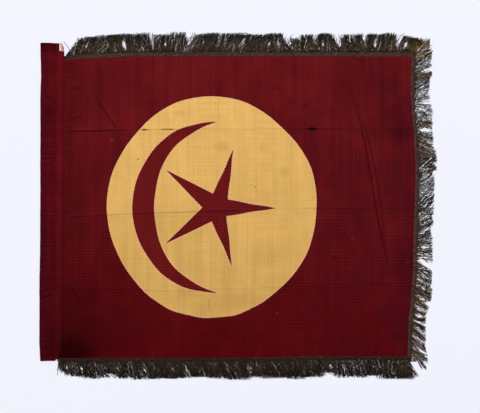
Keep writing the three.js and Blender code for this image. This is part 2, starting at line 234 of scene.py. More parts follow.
FIELD_CREASES = [
    Crease([(-358, 272), (-333, 236), (-318, 213), (-304.5, 192)], 2.2, 0.8, 0.65),
    Crease([(-366, 292), (-358, 276)], 2.0, 0.5, 0.3),
    Crease([(-402, 262), (-392, 243), (-384, 236), (-374, 238), (-366, 250)], 4.0, 0.6, 0.2),
    Crease([(-431, 236), (-424, 226), (-414, 219), (-402, 223), (-390, 238)], 3.4, 0.8, 0.42),
    Crease([(-434, -192), (-419, -202), (-409, -214), (-401, -229), (-392, -246)], 1.8, 0.8, 0.65),
    Crease([(-436, -206), (-420, -211), (-408, -213)], 1.8, 0.7, 0.5),
    Crease([(-392, 100), (-391, 60), (-393, 20)], 3.0, 0.3, 0.15),
    Crease([(300, 140), (302, 110), (299, 84)], 1.6, 0.4, 0.3),
    Crease([(-437, -226), (-430, -228), (-422, -232)], 1.6, 1.0, 0.7),
    Crease([(-298, -215), (-290, -217), (-283, -221)], 1.6, 0.9, 0.8),
    Crease([(-391, -276), (-388, -286), (-388, -297)], 1.5, 0.8, 0.6),
    Crease([(-437, -300), (-425, -309), (-408, -318)], 1.8, 1.0, 0.6),
    Crease([(-440, -352), (-428, -338), (-416, -322)], 2.4, 1.2, 0.8),
    Crease([(293, 148), (291, 122), (289.5, 97)], 1.4, 0.7, 0.5),
    Crease([(132, 172), (131, 60), (132.5, -40), (131, -158)], 1.3, 0.35, 0.22),
    Crease([(128, -300), (145, -307), (160, -301), (178, -309)], 1.4, 0.6, 0.4),
    Crease([(135, -330), (152, -336), (172, -330), (196, -339)], 1.4, 0.6, 0.4),
    Crease([(228, -128), (236, -124), (243, -127)], 1.6, 0.7, 0.7),
]
DISC_CREASES = [
    Crease([(-75, -221), (-76, -240), (-75.5, -263)], 1.3, 0.5, 0.4),
    Crease([(-74.5, -5), (-74.5, -12)], 1.2, 0.4, 0.9),
    Crease([(132, 172), (131, 60), (132.5, -40), (131, -158)], 1.3, 0.35, 0.2),
]
# Puckers where the field is gathered into the sleeve's seam: (low, high, how many, how long)
SEAM_PUCKERS = [
    (318, 368, 8, 26), (216, 300, 10, 44), (150, 205, 9, 26), (67, 142, 14, 34), (-21, 40, 8, 34),
    (-130, -40, 10, 26), (-262, -180, 14, 50), (-356, -268, 14, 44),
]
SLEEVE_CREASES = [
    Crease([(-493, 282), (-478, 274), (-462, 263), (-452, 258)], 1.6, 0.9, 0.8),
    Crease([(-489, 331), (-474, 326), (-462, 327)], 1.5, 0.7, 0.5),
    Crease([(-496, 104), (-478, 108), (-462, 104)], 1.6, 0.8, 0.6),
    Crease([(-470, 118), (-458, 112), (-446, 110)], 1.6, 0.8, 0.6),
    Crease([(-497, -223), (-478, -222), (-460, -218), (-446, -219)], 1.6, 0.8, 0.7),
    Crease([(-492, -250), (-476, -253), (-462, -250)], 1.5, 0.7, 0.5),
    Crease([(-482, -20), (-468, -23), (-452, -20)], 1.5, 0.7, 0.5),
]
HEM_LINE = Crease([(-494, 378), (-475, 377.5), (-460, 378), (-447, 377)], 1.8, 0.6, 0.7)

BROAD_MARK = 25  # marks wider than this have a softer outline
RIB_FADE = 60  # the ribs of the silk fade out over this height
# Marks: (x, y, half width, half height, darkness), light ones with a minus sign
FIELD_MARKS = [
    (306, 366, 7, 5, 0.3), (90, 299, 14, 9, 0.25), (127, 259, 12, 8, 0.2), (166, 254, 9, 6, 0.2),
    (237, -127, 9, 5, 0.3), (-318, 167, 4, 3, -0.4), (422, -138, 3, 2.5, -0.5),
    (282, -80.5, 3, 2.5, -0.4), (94.5, -265.6, 2.5, 2.5, -0.4),
    (-356, 189.6, 15, 1.8, 0.7), (-324, 190.6, 8, 2.4, 0.8), (-395, 188.8, 30, 2.2, 0.35),
    (-436, -364, 78, 50, 0.8), (-410, -330, 120, 80, 0.3), (-400, -300, 180, 140, 0.3),
    (-424, 352, 34, 30, 0.25),
    (430, 0, 55, 400, 0.12), (-425, 60, 50, 280, 0.2), (330, -330, 150, 70, 0.14),
    (-350, 300, 130, 90, 0.16), (385, 210, 34, 60, 0.2), (100, 340, 120, 30, 0.08),
    (340, 310, 130, 80, 0.16), (414, 190, 22, 26, 0.25), (-290, 130, 50, 90, 0.1),
]
SLEEVE_MARKS = [
    (-470, 60, 14, 60, 0.15), (-465, -330, 26, 60, 0.25), (-472, 402, 46, 24, 0.5),
    (-480, 250, 16, 70, 0.15),
    (-462, -140, 12, 60, 0.12), (-488, -80, 8, 90, 0.15),
]
DISC_MARKS = [
    (-253, 119, 2.6, 2.4, 0.8), (40.6, 49.4, 2, 2, 0.7), (-150, 234, 18, 10, 0.1),
    (60, -120, 50, 36, 0.08), (-215, -60, 30, 60, 0.08), (-44, 150, 22, 15, 0.16), (112, 87, 16, 14, 0.14),
    (10, -235, 70, 24, 0.12), (-236.5, 193.4, 7, 2.0, 0.85), (-181, 193.8, 15, 1.7, 0.6),
    (-170, 194.4, 3.4, 1.5, 0.8), (60, 150, 14, 12, 0.1), (-130, -210, 26, 16, 0.1),
]

# Fringe. beyond gives the drawing's x and y for a place along the side and a distance out from it.
# reach, sway, silver and gilt are listed along the side, and gaps are (place, half width).
# layers is how many strands lie over each other. strand, scatter, gather and curl say how thick they
# are and how they hang, and tone, contrast, tips and mottle how dark. fans are (corner, how far in the
# strands fan from it). band, over, darker_span and stitch are the header's and its stitches'.
# strays are threads that leave the fringe: (points, how many, how far apart, silver, gilt).
SIDES = {
    "top": {
        "node": "fringe_top", "start": -435, "end": 431.6,
        "beyond": lambda along, out: (along, line_at(TOP_EDGE, along) + out),
        "reach": [(-435, 15), (-430, 28), (-424, 40), (-414, 50), (-405, 54), (-385, 55), (-330, 58),
                  (-200, 60), (-148, 59), (-142, 49), (-136, 48), (-128, 59), (120, 58), (128, 45),
                  (152, 45), (158, 57), (180, 57), (184, 48), (190, 57), (238, 58), (244, 46), (258, 44),
                  (264, 56), (305, 59), (309, 48), (314, 58), (380, 58), (386, 50), (404, 54), (420, 48),
                  (431, 38)],
        "sway": [(-435, 0.4), (-330, 0.45), (-300, 0), (-280, -0.35), (-225, -0.25), (-190, 0.1),
                 (-148, 0.35), (60, 0.35), (90, 0), (125, -0.35), (152, -0.3), (175, 0.1), (250, -0.1),
                 (300, 0.1), (380, 0.2), (410, 0.45), (431.6, 0.95)],
        "gaps": [(-395, 2.4), (-343, 2.2), (-322, 2), (-277, 3.4), (-188, 2), (-140, 5.5), (-103, 2),
                 (-48, 2), (-4, 4.6), (68, 4.8), (104, 4.8), (134, 6.5), (187, 5), (209, 3),
                 (250, 6.5), (307, 5), (336, 4), (388, 5.5), (402, 4.5)],
        "silver": [(-435, 0.1), (-160, 0.1), (-140, 0.25), (-110, 0.08), (90, 0.12), (131, 0.4), (150, 0.05),
                   (230, 0.1), (250, 0.35), (262, 0.04), (375, 0.05), (395, 0.3), (432, 0.3)],
        "gilt": [(-435, 0.1), (300, 0.1), (380, 0.12), (405, 0.5), (432, 1.1)],
        "layers": 6.9, "curl": 1.7, "tone": 0.62, "fans": [(431.6, -18)], "seed": 11,
        "strand": 0.7, "stations": 8, "scatter": 0.2, "gather": 0.5, "contrast": 0.42, "tips": 0.4,
        "band": 0.67, "over": 2.6, "darker_span": (-435, -370), "mottle": 4, "stitch": 0.38,
        "strays": [
            ([(-438, 412), (-434, 407), (-430, 402), (-424, 394), (-419, 384)], 2, 0.5, 0.2, 0.1),
            ([(456, 394), (461, 401), (462, 409), (468, 414)], 5, 5, 0.1, 0.9),
            ([(455, 398), (463, 399), (470, 404), (476, 402)], 5, 5, 0.1, 0.9),
        ],
    },
    "fly": {
        "node": "fringe_fly", "start": -373.4, "end": 377.4,
        "beyond": lambda along, out: (line_at(FLY_EDGE, along) + out, along),
        "reach": [(-373, 22), (-362, 25), (-355, 47), (-342, 54), (-320, 48), (-300, 44), (-262, 44),
                  (-240, 44), (-232, 42), (-226, 50), (-205, 52), (-100, 51), (-75, 46), (-60, 48),
                  (40, 49), (60, 48), (119, 56), (150, 55), (195, 50), (215, 50), (250, 52),
                  (262, 45), (280, 53), (330, 53), (345, 52), (377, 50)],
        "sway": [(-373.4, -0.95), (-330, -0.75), (-258, -0.4), (-190, -0.45), (-135, -0.5), (-118, -0.1),
                 (-100, 0), (-83, 0.5), (20, 0.6), (92, 0.55), (104, 0), (122, -0.3), (142, -0.6),
                 (188, -0.55), (200, -0.05), (246, 0), (256, 0.5), (305, 0.5), (318, 0.3),
                 (350, 0.5), (377.4, 0.85)],
        "gaps": [(337, 6), (327, 6), (251, 5), (240, 2.5), (219, 2.5), (197, 4), (133, 5), (59, 3.4),
                 (28, 3), (-11, 3.4), (-40, 3), (-71, 3.4), (-101, 3.4), (-128, 4), (-146, 3.4), (-190, 3),
                 (-223, 5), (-262, 3), (-290, 3), (-312, 3), (-335, 3), (-353, 5)],
        "silver": [(-373, 0.5), (-330, 0.4), (-230, 0.35), (-150, 0.5), (-60, 0.75), (80, 0.7),
                   (110, 0.4), (150, 0.5), (215, 0.85), (255, 0.85), (280, 0.5), (340, 0.5),
                   (377, 0.4)],
        "gilt": [(-373, 0.3), (-345, 0.4), (-300, 0.5), (-233, 0.65), (-165, 0.5), (-140, 0.3),
                 (-120, 0.5), (-105, 0.12), (80, 0.1), (100, 0.45), (118, 0.4), (140, 0.1),
                 (160, 0.45), (182, 0.4), (200, 0.08), (300, 0.12), (330, 0.5), (405, 0.6)],
        "layers": 5.4, "curl": 1.7, "tone": 0.52, "fans": [(-373.4, 18), (377.4, -18)], "seed": 23,
        "strand": 1, "stations": 10, "scatter": 0.12, "gather": 0.7, "contrast": 1.0, "tips": 0.75,
        "band": 0.68, "over": 0.6, "darker_span": (-900, -800), "mottle": 1.9, "stitch": 0.6,
        "strays": [
            ([(444, 318), (452, 331), (462, 336), (471, 332), (477, 325)], 4, 1.6, 0.6, 0.5),
            ([(442, 210), (456, 236), (470, 247), (482, 243), (481, 230), (468, 214)], 6, 2.2, 0.9, 0.1),
            ([(440, 240), (456, 246), (470, 237), (480, 224), (476, 213)], 6, 2.2, 0.9, 0.1),
            ([(440, -352), (452, -363), (461, -377), (469, -391)], 2, 1.2, 0.3, 0.3),
            ([(438, -366), (446, -380), (456, -384), (464, -398)], 2, 1.2, 0.3, 0.3),
        ],
    },
    "bottom": {
        "node": "fringe_bottom", "start": -455, "end": 422.1,
        "beyond": lambda along, out: (along, line_at(BOTTOM_EDGE, along) - out),
        "reach": [(-455, 30), (-443, 42), (-438, 46), (-425, 48), (-400, 51), (-368, 57), (-358, 55),
                  (-352, 40), (-338, 40), (-325, 50), (-310, 55), (-250, 57), (-180, 53), (-110, 50),
                  (-60, 54), (-25, 58), (20, 54), (35, 50), (55, 54), (150, 58), (180, 54),
                  (195, 47), (215, 44), (226, 44), (245, 56), (275, 52), (300, 57), (335, 53),
                  (350, 58), (410, 60), (422, 56)],
        "sway": [(-455, 0.15), (-430, 0.3), (-380, 0.2), (-330, 0.5), (-100, 0.45), (0, 0.3), (300, 0.25),
                 (380, 0.1), (422.1, 0.3)],
        "gaps": [(-437, 3), (-401, 2), (-345, 3), (-318, 2), (-252, 2), (-180, 1.5), (55, 1.5),
                 (222, 3), (330, 1.5)],
        "silver": [(-455, 0.2), (-380, 0.1), (-350, 0.2), (-320, 0.07), (0, 0.04), (200, 0.05), (335, 0.2),
                   (350, 0.07), (400, 0.1)],
        "gilt": [(-455, 0.2), (-350, 0.12), (-200, 0.08), (200, 0.06), (330, 0.12), (422, 0.25)],
        "layers": 7.7, "curl": 1.6, "tone": 0.5, "fans": [(422.1, -18)], "seed": 37,
        "strand": 0.7, "stations": 8, "scatter": 0.23, "gather": 0.6, "contrast": 0.4, "tips": 0.5,
        "band": 0.32, "over": 0.6, "darker_span": (-455, -390), "mottle": 4, "stitch": 0.25,
        "strays": [
            ([(-450, -382), (-453, -392), (-453.5, -404), (-455, -414), (-453.5, -421)], 2, 0.4, 0.3, 0.1),
        ],
    },
}


def colour(code):
    """A colour written as 0xRRGGBB, as the linear numbers that Blender keeps."""
    shares = [((code >> shift) & 255) / 255 for shift in (16, 8, 0)]
    return [s / 12.92 if s <= 0.04045 else ((s + 0.055) / 1.055) ** 2.4 for s in shares]


# Flat shapes ------------------------------------------------------------------------------------


def disc_outline(grow=0.0):
    """The disc's outline, anticlockwise from the fly side."""
    angle = 2 * np.pi * np.arange(DISC["sides"]) / DISC["sides"]
    out = grow + sum(by * np.cos(lobes * angle - math.radians(turn)) for lobes, by, turn in DISC_LOBES)
    return np.column_stack([
        DISC["x"] + (DISC["radius_x"] + out) * np.cos(angle),
        DISC["y"] + (DISC["radius_y"] + out) * np.sin(angle),
    ])


def bulging_arc(circle, grow, start, end):
    """Points on a bulging circle from one angle to another, both ends included."""
    angle = np.linspace(start, end, CRESCENT_STEPS + 1)
    from_left = np.abs(np.degrees(angle) - 180)
    reach = circle["radius"] + grow + circle["bulge"] * ridge(from_left - circle["at"], circle["half"])
    return np.column_stack([circle["x"] + reach * np.cos(angle), circle["y"] + reach * np.sin(angle)])


def crescent_outline(grow=0.0):
    """The crescent's outline: down its back, then up its belly."""
    outer_radius = CRESCENT_OUTER["radius"] + grow
    inner_radius = CRESCENT_INNER["radius"] - grow
    between = CRESCENT_INNER["x"] - CRESCENT_OUTER["x"]
    to_horn = (between**2 + outer_radius**2 - inner_radius**2) / (2 * between)
    outer = math.acos(to_horn / outer_radius)
    inner = math.acos((to_horn - between) / inner_radius)
    back = bulging_arc(CRESCENT_OUTER, grow, outer, 2 * math.pi - outer)
    belly = bulging_arc(CRESCENT_INNER, -grow, 2 * math.pi - inner, inner)
    return np.concatenate([back, belly[1:-1]])


def star_outline(grow=0.0):
    """The star's outline, tip and inner corner in turn."""
    corners = []
    for i, (tip_lean, corner_lean, inner) in enumerate(zip(TIP_LEAN, CORNER_LEAN, CORNER_RADIUS)):
        for radius, degrees in ((STAR["tip"], 72 * i + tip_lean), (inner, 72 * i + 36 + corner_lean)):
            angle = math.radians(degrees)
            corners.append((STAR["x"] + radius * math.cos(angle), STAR["y"] + radius * math.sin(angle)))
    return grown(np.array(corners), grow)


def grown(outline, distance):
    """An anticlockwise outline moved outwards, corner by corner."""
    after = rightward(unit(np.roll(outline, -1, axis=0) - outline))
    before = np.roll(after, 1, axis=0)
    middle = unit(before + after)
    return outline + middle * distance / np.sum(middle * before, axis=1, keepdims=True)


def tear_outline():
    """The tear: a ragged almond along the upper fold."""
    steps = TEAR["steps"]
    angle = np.pi * np.arange(2 * steps) / steps
    ragged = 1 + 0.16 * np.sin(7 * angle) * np.sin(3 * angle + 1)
    across = TEAR["x"] + TEAR["length"] / 2 * np.cos(angle)
    up = np.sign(np.sin(angle)) * np.abs(np.sin(angle)) ** TEAR["pointed"]
    return np.column_stack([across, line_at(UPPER_FOLD, across) + TEAR["width"] / 2 * up * ragged])


def across_sleeve(y, share):
    """A place on the sleeve's width, from 0 at its left to 1 at its seam."""
    left, seam = line_at(SLEEVE_LEFT, y), line_at(SLEEVE_SEAM, y)
    return left + (seam - left) * share


def field_outline():
    """The field's cut edge, which runs under the fringe headers and up to the sleeve."""
    bottom = [(x, y - LAP) for x, y in BOTTOM_EDGE[1:]]
    fly = [(x + LAP, y) for y, x in FLY_EDGE]
    top = [(x, y + LAP) for x, y in TOP_EDGE][::-1]
    low = BOTTOM_EDGE[0][1] - LAP
    high = TOP_EDGE[0][1] + LAP
    fly[0] = (fly[0][0], bottom[-1][1])
    fly[-1] = (fly[-1][0], top[0][1])
    up = sorted({min(max(y, low), high) for y, _ in SLEEVE_SEAM}, reverse=True)
    side = [(float(across_sleeve(y, TUBE_END)) + 0.8, y) for y in up]
    return np.array([*bottom[:-1], *fly, *top[1:], *side], float)


def dense(outline, step):
    """A closed outline with a corner at least every step."""
    points = []
    for start, end in zip(outline, np.roll(outline, -1, axis=0)):
        count = max(1, int(np.linalg.norm(end - start) / step))
        points.extend(start + (end - start) * np.arange(count)[:, None] / count)
    return np.array(points)


def serrated(outline, step, pitch, depth, where):
    """A dense outline with the small teeth that woven edges turned by hand show on the straight grain."""
    points = dense(outline, step)
    ahead = np.roll(points, -1, axis=0) - np.roll(points, 1, axis=0)
    outward = unit(rightward(ahead))
    length = distance_along(points)
    uneven = length / pitch + 0.4 * np.sin(length / 19)
    teeth = np.abs(uneven % 1 - 0.5) * 1.6 - 0.4 + 0.3 * np.sin(length / 13)
    return points + outward * (teeth * depth * where(points[:, 0], points[:, 1]))[:, None]


def resampled(points, step):
    """An open line with points at even steps, and how far along each of them is."""
    points = np.asarray(points, float)
    length = distance_along(points)
    along = np.linspace(0, length[-1], max(3, int(length[-1] / step) + 1))
    return np.column_stack([np.interp(along, length, column) for column in points.T]), along


def is_inside(points, outline):
    """Which points lie inside a closed outline."""
    inside = np.zeros(len(points), bool)
    for (ax, ay), (bx, by) in zip(outline, np.roll(outline, -1, axis=0)):
        if ay == by:
            continue
        crosses = (ay > points[:, 1]) != (by > points[:, 1])
        inside ^= crosses & (points[:, 0] < ax + (bx - ax) * (points[:, 1] - ay) / (by - ay))
    return inside


def is_cloth(points, outline, holes):
    """Which points lie inside an outline and outside its holes."""
    inside = is_inside(points, outline)
    for hole in holes:
        inside &= ~is_inside(points, hole)
    return inside


def segment_distance(points, start, end):
    """How far points are from a straight run, which share of it is nearest, and on which side."""
    run = end - start
    from_start = points - start
    share = np.clip(from_start @ run / (run @ run), 0, 1)
    side = np.sign(run[0] * from_start[:, 1] - run[1] * from_start[:, 0])
    return np.linalg.norm(from_start - share[:, None] * run, axis=1), share, side


def clearance(points, outline):
    """How far points are outside a closed outline, negative inside it."""
    distance = np.full(len(points), np.inf)
    for start, end in zip(outline, np.roll(outline, -1, axis=0)):
        distance = np.minimum(distance, segment_distance(points, start, end)[0])
    return np.where(is_inside(points, outline), -distance, distance)


# Creases ----------------------------------------------------------------------------------------


def crease_effect(points, creases):
    """The height that creases add at points, how much painted shade and dirt they lay along their grooves,
    and how much painted highlight they lay on one bank.
    """
    height, dark, light = np.zeros((3, len(points)))
    for crease in creases:
        line, along = resampled(crease.points, 4)
        reach = 4.5 * crease.width
        low, high = line.min(0) - reach, line.max(0) + reach
        near = np.flatnonzero(np.all((points > low) & (points < high), axis=1))
        if not len(near):
            continue
        here = points[near]
        best, place, side = np.full((3, len(near)), np.inf)
        for i in range(len(line) - 1):
            distance, share, turn = segment_distance(here, line[i], line[i + 1])
            closer = distance < best
            best = np.where(closer, distance, best)
            place = np.where(closer, along[i] + share * (along[i + 1] - along[i]), place)
            side = np.where(closer, turn, side)
        taper = min(14, along[-1] / 2.5)
        ends = smooth(np.minimum(place, along[-1] - place) / taper)
        groove = bell(best, crease.width) * ends
        bank = bell(best - BANK_PLACE * crease.width, BANK_WIDTH * crease.width) * ends
        height[near] += crease.depth * (BANK_SHARE * bank - groove)
        strength = line_at(crease.dark, here[:, 0]) if isinstance(crease.dark, list) else crease.dark
        # painted shade, with dirt, along the groove
        dark[near] = np.maximum(dark[near], groove * strength)
        # painted highlight on the bank on one side of the crease only
        light[near] = np.maximum(light[near], bank * strength * (side > 0))
    return height, dark, light


def crease_seeds(creases):
    """Points along creases and just beside them, so that the cloth can take their shape."""
    seeds = []
    for crease in creases:
        line, _ = resampled(crease.points, 4.4)
        beside = -rightward(unit(np.gradient(line, axis=0)))
        seeds.extend(line + beside * offset * crease.width for offset in (-2.2, -0.9, 0, 0.9, 2.2))
    return np.concatenate(seeds)


def seam_puckers(seed, direction, root):
    """Small creases that fan from the sleeve's seam: direction 1 into the field, -1 into the sleeve."""
    rng = np.random.default_rng(seed)
    creases = []
    for low, high, count, reach in SEAM_PUCKERS:
        for i in range(count):
            y = low + (high - low) * (i + rng.uniform(0.1, 0.9)) / count
            length = reach * rng.uniform(0.35, 1) * (1 if direction > 0 else 0.5)
            slope = rng.normal(-0.08, 0.16)
            sag = rng.uniform(-0.1, 0.1) * length
            start = float(across_sleeve(y, root)) + direction * rng.uniform(0.5, 6)
            run, rise = direction * length, length * slope
            points = [
                (start + run * share, y + rise * share + sag * math.sin(math.pi * share))
                for share in (0, 0.25, 0.5, 0.75, 1)
            ]
            width, depth, dark = (rng.uniform(*span) for span in ((1.5, 2.8), (0.2, 0.6), (0.1, 0.5)))
            creases.append(Crease(points, width, depth, dark))
    return creases


# Meshes -----------------------------------------------------------------------------------------


def on_part(points):
    """Drawing millimetres as metres on the part."""
    return (points + SHIFT) / 1000


def add_piece(name, points, faces, material, slot, nodes=(), attributes=None):
    """A mesh that rides on the flag, built from drawing points, with named numbers for its vertices."""
    mesh = bpy.data.meshes.new(name)
    points = np.array(points, float)
    points[:, 2] = np.maximum(points[:, 2], ON_TABLE)
    mesh.from_pydata(on_part(points).tolist(), [], faces)
    mesh.polygons.foreach_set("use_smooth", [True] * len(mesh.polygons))
    for key, values in (attributes or {}).items():
        attribute = mesh.attributes.new(key, "FLOAT", "POINT")
        attribute.data.foreach_set("value", np.asarray(values, np.float32))
    mesh.update()
    piece = bpy.data.objects.new(name, mesh)
    bpy.context.scene.collection.objects.link(piece)
    mesh.materials.append(material)
    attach(piece, "root")
    if nodes:
        mesh.set_sharp_from_angle(angle=CUT_EDGE)
        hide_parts(*nodes)
    return piece


def grid_seeds(outline, spacing, seed):
    """A staggered grid of points over an outline, each a little off its place."""
    rng = np.random.default_rng(seed)
    low, high = outline.min(0), outline.max(0)
    rows = np.arange(low[1], high[1], spacing * 0.87)
    columns = np.arange(low[0], high[0], spacing)
    x, y = np.meshgrid(columns, rows)
    x = x + (np.arange(len(rows)) % 2)[:, None] * spacing / 2
    points = np.column_stack([x.ravel(), y.ravel()])
    return points + rng.uniform(-0.14, 0.14, points.shape) * spacing


def filled(outline, holes, seeds, clear):
    """An outline less its holes as points and triangles, using the seeds that stand clear of the edges."""
    loops = [outline, *holes]
    edge_points = np.concatenate(loops)
    tree = KDTree(len(edge_points))
    for i, (x, y) in enumerate(edge_points):
        tree.insert((x, y, 0), i)
    tree.balance()
    kept = [p for p in seeds[is_cloth(seeds, outline, holes)] if tree.find((p[0], p[1], 0))[2] > clear]
    edges = []
    start = 0
    for loop in loops:
        ring = range(start, start + len(loop))
        edges.extend(zip(ring, [*ring[1:], start]))
        start += len(loop)
    flat = [Vector(p) for p in np.concatenate([edge_points, kept])]
    points, _, triangles, *_ = delaunay_2d_cdt(flat, edges, [], 0, 1e-4)
    points = np.array([tuple(p) for p in points])
    triangles = np.array(triangles)
    return points, triangles[is_cloth(points[triangles].mean(axis=1), outline, holes)]


def sheet_solid(points, triangles, top, thickness):
    """A closed sheet under a triangulated top: its vertices and faces."""
    used = np.unique(triangles)
    index = np.full(len(points), -1)
    index[used] = np.arange(len(used))
    triangles = index[triangles]
    points, top = points[used], top[used]
    a, b, c = (points[triangles[:, i]] for i in range(3))
    turned = (b[:, 0] - a[:, 0]) * (c[:, 1] - a[:, 1]) < (b[:, 1] - a[:, 1]) * (c[:, 0] - a[:, 0])
    triangles[turned] = triangles[turned][:, ::-1]
    count = len(points)
    sides = np.concatenate([triangles[:, [0, 1]], triangles[:, [1, 2]], triangles[:, [2, 0]]])
    _, first, uses = np.unique(np.sort(sides, axis=1), axis=0, return_index=True, return_counts=True)
    rim = sides[first[uses == 1]]
    walls = np.column_stack([rim[:, 1], rim[:, 0], rim[:, 0] + count, rim[:, 1] + count])
    vertices = np.concatenate([
        np.column_stack([points, top]),
        np.column_stack([points, np.maximum(top - thickness, ON_TABLE)]),
    ])
    faces = [*triangles.tolist(), *(triangles[:, ::-1] + count).tolist(), *walls.tolist()]
    return vertices, faces, used


def cloth_piece(name, outline, holes, creases, look, finish, marks_of):
    """A flat cloth piece with its folds and creases. finish is its material and a slot name, which is not
    used.
    marks_of gives how far it dips at each point, and named numbers for its finish."""
    seeds = [grid_seeds(outline, look["spacing"], look["seed"]), crease_seeds(creases), *look["seeds"]]
    points, triangles = filled(outline, holes, np.concatenate(seeds), look["clear"])
    height, dark, light = crease_effect(points, creases)
    dip, numbers = marks_of(points)
    relief = np.maximum(height + swell(*points.T), SILK - CLOTH + 0.05)
    top = lift(*points.T) + CLOTH + relief - dip
    vertices, faces, used = sheet_solid(points, triangles, top, SILK)
    # The crease number is painted shade with dirt along the creases, and the other number is painted
    # highlight on their banks.
    attributes = {"crease": dark, "worn": light, **numbers}
    attributes = {key: np.tile(values[used], 2) for key, values in attributes.items()}
    return add_piece(name, vertices, faces, *finish, [name], attributes)


def small_sheet(name, outline, spacing, seed, clear, height_of, thickness, material, slot):
    """A small loose sheet with no creases. height_of gives how high its upper face lies at points."""
    points, triangles = filled(outline, [], grid_seeds(outline, spacing, seed), clear)
    vertices, faces, _ = sheet_solid(points, triangles, height_of(*points.T), thickness)
    return add_piece(name, vertices, faces, material, slot, [name])


def grid_solid(outer, inner, turned=False):
    """A closed sheet between two grids of points. turned says that its columns run the other way round."""
    ids = np.arange(outer[..., 0].size).reshape(outer.shape[:2])
    quads = np.stack([ids[:-1, :-1], ids[:-1, 1:], ids[1:, 1:], ids[1:, :-1]], axis=-1).reshape(-1, 4)
    ring = np.array([*ids[0], *ids[1:, -1], *ids[-1, -2::-1], *ids[-2:0:-1, 0]])
    after = np.roll(ring, -1)
    walls = np.column_stack([after, ring, ring + ids.size, after + ids.size])
    if turned:
        quads, walls = quads[:, [0, 3, 2, 1]], walls[:, [1, 0, 3, 2]]
    faces = [*quads.tolist(), *(quads[:, ::-1] + ids.size).tolist(), *walls.tolist()]
    return np.concatenate([outer.reshape(-1, 3), inner.reshape(-1, 3)]), faces


def tubes(paths, radius, sides):
    """Round threads along many paths at once: their vertices and faces, with closed ends."""
    count, stations, _ = paths.shape
    along = unit(np.gradient(paths, axis=1))
    across = unit(np.cross(along, [0.0, 0.0, 1.0]) + 1e-6)
    up = np.cross(across, along)
    angle = 2 * np.pi * np.arange(sides) / sides
    ring = across[:, :, None] * np.cos(angle)[:, None] + up[:, :, None] * np.sin(angle)[:, None]
    vertices = paths[:, :, None] + radius[:, :, None, None] * ring
    ids = np.arange(count * stations * sides).reshape(count, stations, sides)
    turned = np.roll(ids, -1, axis=2)
    quads = np.stack([ids[:, :-1], turned[:, :-1], turned[:, 1:], ids[:, 1:]], axis=-1).reshape(-1, 4)
    ends = [*ids[:, 0, ::-1].tolist(), *ids[:, -1].tolist()]
    return vertices.reshape(-1, 3), [*quads.tolist(), *ends]


def thread_piece(name, paths, radius, sides, material, slot, attributes=None):
    """A piece made of threads that are all equally thick."""
    vertices, faces = tubes(paths, np.full(paths.shape[:2], radius), sides)
    return add_piece(name, vertices, faces, material, slot, (), attributes)


# Shaders ----------------------------------------------------------------------------------------


class Nodes:
    """A node tree being built. Each call adds a node and gives the socket that it is used by."""

    def __init__(self, tree):
        self.tree = tree

    def add(self, kind, inputs=None, out=0, **settings):
        node = self.tree.nodes.new(kind)
        for key, value in settings.items():
            setattr(node, key, value)
        for key, value in (inputs or {}).items():
            if isinstance(value, bpy.types.NodeSocket):
                self.tree.links.new(value, node.inputs[key])
            else:
                node.inputs[key].default_value = value
        return node.outputs[out]

    def math(self, operation, *values, clamp=False):
        return self.add("ShaderNodeMath", dict(enumerate(values)), operation=operation, use_clamp=clamp)

    def vector(self, operation, *values):
        return self.add("ShaderNodeVectorMath", dict(enumerate(values)), operation=operation)

    def mix(self, factor, a, b, blend="MIX"):
        inputs = {0: factor, 6: a, 7: b}
        return self.add("ShaderNodeMix", inputs, 2, data_type="RGBA", blend_type=blend)

    def number(self, name):
        return self.add("ShaderNodeAttribute", out="Fac", attribute_name=name)

    def place(self):
        return self.add("ShaderNodeTexCoord", out="Object")

    def along(self, axis):
        return self.add("ShaderNodeSeparateXYZ", {0: self.place()}, axis)

    def share_of(self, name, share):
        """One of a piece's named numbers, taken in part."""
        return self.math("MULTIPLY", self.number(name), share, clamp=True)

    def ramp(self, value, start, end, low=0.0, kind="LINEAR"):
        """A value as a share: low at its start and 1 at its end."""
        inputs = {"Value": value, "From Min": start, "From Max": end, "To Min": low}
        return self.add("ShaderNodeMapRange", inputs, interpolation_type=kind)

    def noise(self, stretch, detail=2.0):
        stretched = self.vector("MULTIPLY", self.place(), stretch)
        return self.add("ShaderNodeTexNoise", {"Vector": stretched, "Scale": 1.0, "Detail": detail})

    def swing(self, source, middle, by):
        """A source from 0 to 1 as a number that swings about a middle."""
        centred = self.math("SUBTRACT", source, 0.5)
        return self.math("MULTIPLY_ADD", centred, by, middle)

    def colour_times(self, base, factor):
        return self.add("ShaderNodeVectorMath", {0: base, "Scale": factor}, operation="SCALE")

    def group(self, tree, values, out=0):
        """A node group, with its inputs set or linked."""
        return self.add("ShaderNodeGroup", values, out, node_tree=tree)


def node_group(name, inputs, outputs, build):
    """A shader node group, built the first time it is asked for. build returns its outputs in order."""
    if name in bpy.data.node_groups:
        return bpy.data.node_groups[name]
    tree = bpy.data.node_groups.new(name, "ShaderNodeTree")
    for key, kind, default in inputs:
        socket = tree.interface.new_socket(name=key, in_out="INPUT", socket_type=kind)
        socket.default_value = default
    for key, kind in outputs:
        tree.interface.new_socket(name=key, in_out="OUTPUT", socket_type=kind)
    source = tree.nodes.new("NodeGroupInput")
    results = build(Nodes(tree), source.outputs)
    target = tree.nodes.new("NodeGroupOutput")
    for i, result in enumerate(results):
        tree.links.new(result, target.inputs[i])
    return tree


NUMBER, COLOUR = "NodeSocketFloat", "NodeSocketColor"
# What makes a weave uneven: (name, how closely it varies across, up and through, how finely)
WEAVE_NOISES = [
    ("Warp", (230, 3.5, 1), 3), ("Streak", (55, 2.2, 1), 3), ("Weft", (7, 300, 1), 3),
    ("Grain", (420, 420, 1), 4),
]


